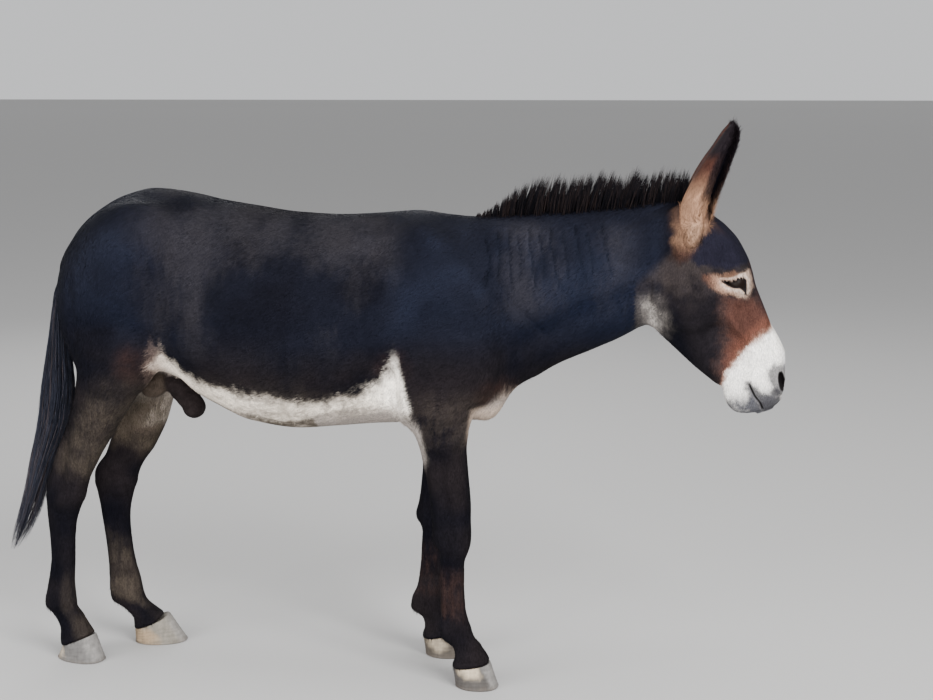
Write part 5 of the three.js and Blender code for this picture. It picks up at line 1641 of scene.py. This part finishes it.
class Nodes:
    """A material's node tree, with short calls to add and link nodes."""

    def __init__(self, name):
        self.material = bpy.data.materials.new(name)
        self.material.use_nodes = True
        self.tree = self.material.node_tree
        self.shader = self.tree.nodes["Principled BSDF"]

    def add(self, kind, inputs=None, **settings):
        node = self.tree.nodes.new(kind)
        for key, value in settings.items():
            setattr(node, key, value)
        for key, value in (inputs or {}).items():
            self.feed(node.inputs[key], value)
        return node

    def feed(self, socket, value):
        if isinstance(value, bpy.types.NodeSocket):
            self.tree.links.new(value, socket)
        else:
            socket.default_value = value

    def noise(self, scale, detail=3.0, rough=0.55, vector=None):
        inputs = {"Scale": scale, "Detail": detail, "Roughness": rough}
        if vector is not None:
            inputs["Vector"] = vector
        return self.add("ShaderNodeTexNoise", inputs).outputs["Fac"]

    def place(self, stretch=(1, 1, 1), turn=(0, 0, 0)):
        place = self.add("ShaderNodeTexCoord").outputs["Object"]
        node = self.add("ShaderNodeMapping", {"Vector": place})
        node.inputs["Scale"].default_value = stretch
        node.inputs["Rotation"].default_value = turn
        return node.outputs["Vector"]

    def ramp(self, value, *stops):
        node = self.add("ShaderNodeValToRGB", {"Fac": value})
        elements = node.color_ramp.elements
        while len(elements) < len(stops):
            elements.new(0.5)
        for element, (position, colour) in zip(elements, stops):
            element.position = position
            element.color = (*colour, 1) if len(colour) == 3 else colour
        return node.outputs["Color"]

    def span(self, value, low, high, to_low, to_high):
        node = self.add("ShaderNodeMapRange", {
            "Value": value, "From Min": low, "From Max": high, "To Min": to_low, "To Max": to_high})
        return node.outputs["Result"]

    def mix(self, share, a, b, blend="MIX"):
        node = self.add("ShaderNodeMix", data_type="RGBA", blend_type=blend)
        self.feed(node.inputs["Factor"], share)
        self.feed(node.inputs[6], a)
        self.feed(node.inputs[7], b)
        return node.outputs[2]

    def shade(self, colour, value, *stops):
        """Darkens and lightens a colour by a value: each stop is a place and a strength."""
        ramp = self.ramp(value, *((place, (strength,) * 3) for place, strength in stops))
        return self.mix(1.0, colour, ramp, "MULTIPLY")

    def bump(self, height, depth):
        inputs = {"Height": height, "Distance": depth, "Strength": 1.0}
        return self.add("ShaderNodeBump", inputs).outputs["Normal"]

    def finish(self, **values):
        for key, value in values.items():
            self.feed(self.shader.inputs[key.replace("_", " ")], value)
        return self.material


def coat_material(name, streaks):
    """Hair: the stored markings with their painted sheen and shade, fine streaks, and a dark blue gloss that
    fades on pale hair.
    """
    nodes = Nodes(name)
    stored = nodes.add("ShaderNodeAttribute", attribute_name="coat")
    pale = stored.outputs["Alpha"]
    fine = nodes.noise(420.0, 2.0, vector=nodes.place((1.0, 1.0, 0.35)))
    broad = nodes.noise(26.0, 4.0)
    vary = nodes.shade(stored.outputs["Color"], broad, (0.3, 0.8), (0.7, 1.18))
    vary = nodes.shade(vary, fine, (0.3, 0.75), (0.7, 1.22))
    gloss = nodes.ramp(pale, (0.0, (0.42, 0.52, 0.92)), (0.9, (0.16, 0.15, 0.16)))
    values = {
        "Base_Color": vary, "Roughness": nodes.span(pale, 0.0, 1.0, 0.50, 0.9), "Specular_IOR_Level": 0.11,
        "Specular_Tint": gloss, "Sheen_Weight": 0.0,
    }
    if streaks:
        values["Normal"] = nodes.bump(fine, streaks)
    return nodes.finish(**values)


def horn_material():
    """Dull horn: the painted colours, fine growth rings and upright scratches."""
    nodes = Nodes("horn")
    stored = nodes.add("ShaderNodeAttribute", attribute_name="coat").outputs["Color"]
    rings = nodes.noise(60.0, 3.0, vector=nodes.place((0.2, 0.2, 4.0)))
    streaks = nodes.noise(45.0, 4.0, vector=nodes.place((3.0, 3.0, 0.25)))
    grime = nodes.noise(160.0, 4.0)
    colour = nodes.shade(stored, streaks, (0.3, 0.84), (0.65, 1.08))
    colour = nodes.shade(colour, grime, (0.35, 0.80), (0.6, 1.06))
    relief = nodes.bump(nodes.mix(0.5, rings, streaks), 0.0012)
    return nodes.finish(Base_Color=colour, Roughness=0.72, Specular_IOR_Level=0.3, Normal=relief)


def eye_material():
    """Dark wet brown, darker and lighter in fine noise."""
    nodes = Nodes("eye_dark")
    glow = nodes.noise(220.0, 4.0)
    colour = nodes.ramp(glow, (0.3, (0.002, 0.0015, 0.0015)), (0.8, (0.010, 0.005, 0.003)))
    return nodes.finish(Base_Color=colour, Roughness=0.4, Specular_IOR_Level=0.06)


# ------------------------------------------------------------------ assembly

def dress(piece, slot, material, *nodes):
    piece.data.materials.clear()
    piece.data.materials.append(material)
    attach(piece, "root")
    if nodes:
        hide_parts(*nodes)


def build_donkey():
    skin = join_ears(make_body_skin())
    points = to_tables(points_of(skin.data))
    colours = markings_and_painted_light(points, normals_of(skin.data))
    paint(skin.data, np.concatenate([colours, dullness(colours, points)[:, None]], 1))
    skin.data.polygons.foreach_set("use_smooth", np.ones(len(skin.data.polygons), bool))
    flesh = ["trunk", "neck", "head", "ear_left", "ear_right", "tail_dock", "sheath", "scrotum"]
    flesh += [f"{name}_{part}" for name in PATHS for part in ("upper_leg", "lower_leg")]
    dress(skin, "coat", coat_material("skin_coat", 0.0006), *flesh)
    hair = coat_material("hair_coat", 0.0)
    for piece in make_coat(skin):
        dress(piece, "coat", hair)
    dress(make_mane(), "long_hair", hair, "mane")
    dress(make_tail(), "long_hair", hair, "tail_switch")
    horn, dark = horn_material(), eye_material()
    for name in HOOVES:
        dress(make_hoof(name), "hoof", horn, f"{name}_hoof")
    for side, name in ((1, "left"), (-1, "right")):
        dress(make_eye(side), "eye", dark, f"eye_{name}")


# ------------------------------------------------------------------ camera, floor and light

CAMERA_PLACE = (0.718, -3.5575, 1.45)
CAMERA_TURN = 8.0                 # degrees round from looking along +Y
CAMERA_DROP = 10.0                # degrees below level
FOCAL_PIXELS = 1500.0
FRAME_WIDTH = 933.0
SENSOR = 36.0
FLOOR_SIZE = 150.0
SKY = (0.97, 0.98, 1.0, 1)
SKY_STRENGTH = 0.80


def make_camera():
    data = bpy.data.cameras.new("camera")
    data.sensor_width = SENSOR
    data.lens = SENSOR * FOCAL_PIXELS / FRAME_WIDTH
    camera = add_object("camera", data)
    camera.location = CAMERA_PLACE
    camera.rotation_euler = (math.radians(90 - CAMERA_DROP), 0, math.radians(CAMERA_TURN))
    bpy.context.scene.camera = camera


def make_floor():
    work = bmesh.new()
    bmesh.ops.create_grid(work, x_segments=1, y_segments=1, size=FLOOR_SIZE)
    mesh = bpy.data.meshes.new("floor")
    work.to_mesh(mesh)
    work.free()
    floor = add_object("floor", mesh)
    nodes = Nodes("floor_paint")
    grain = nodes.noise(3.0, 2.0)
    floor.data.materials.append(nodes.finish(
        Base_Color=nodes.ramp(grain, (0.3, (0.35, 0.345, 0.34)), (0.7, (0.375, 0.37, 0.365))), Roughness=0.9))


LIGHTS = {
    # name: place, aim, width, height, watts
    "key": ((3.8, -4.0, 4.4), (0.1, 0, 0.8), 3.2, 3.2, 760.0),
    "fill": ((-4.4, -4.0, 2.6), (-0.2, 0, 0.7), 3.4, 2.6, 340.0),
    "low": ((0.2, -6.6, 1.3), (0.0, 0, 0.6), 6.0, 1.8, 640.0),
    "top": ((0.0, 0.2, 5.0), (0, 0, 1.0), 4.0, 2.4, 110.0),
    "back": ((-1.5, 4.6, 3.0), (0, 0, 0.8), 3.0, 2.0, 70.0),
}


def make_lights():
    for name, (place, aim, width, height, watts) in LIGHTS.items():
        data = bpy.data.lights.new(name, "AREA")
        data.shape, data.size, data.size_y, data.energy = "RECTANGLE", width, height, watts
        light = add_object(name, data)
        light.location = place
        light.rotation_euler = (Vector(aim) - Vector(place)).to_track_quat("-Z", "Y").to_euler()
    world = bpy.data.worlds.new("studio")
    bpy.context.scene.world = world
    world.use_nodes = True
    background = world.node_tree.nodes["Background"]
    background.inputs["Color"].default_value = SKY
    background.inputs["Strength"].default_value = SKY_STRENGTH


make_camera()
make_floor()
make_lights()
build_donkey()
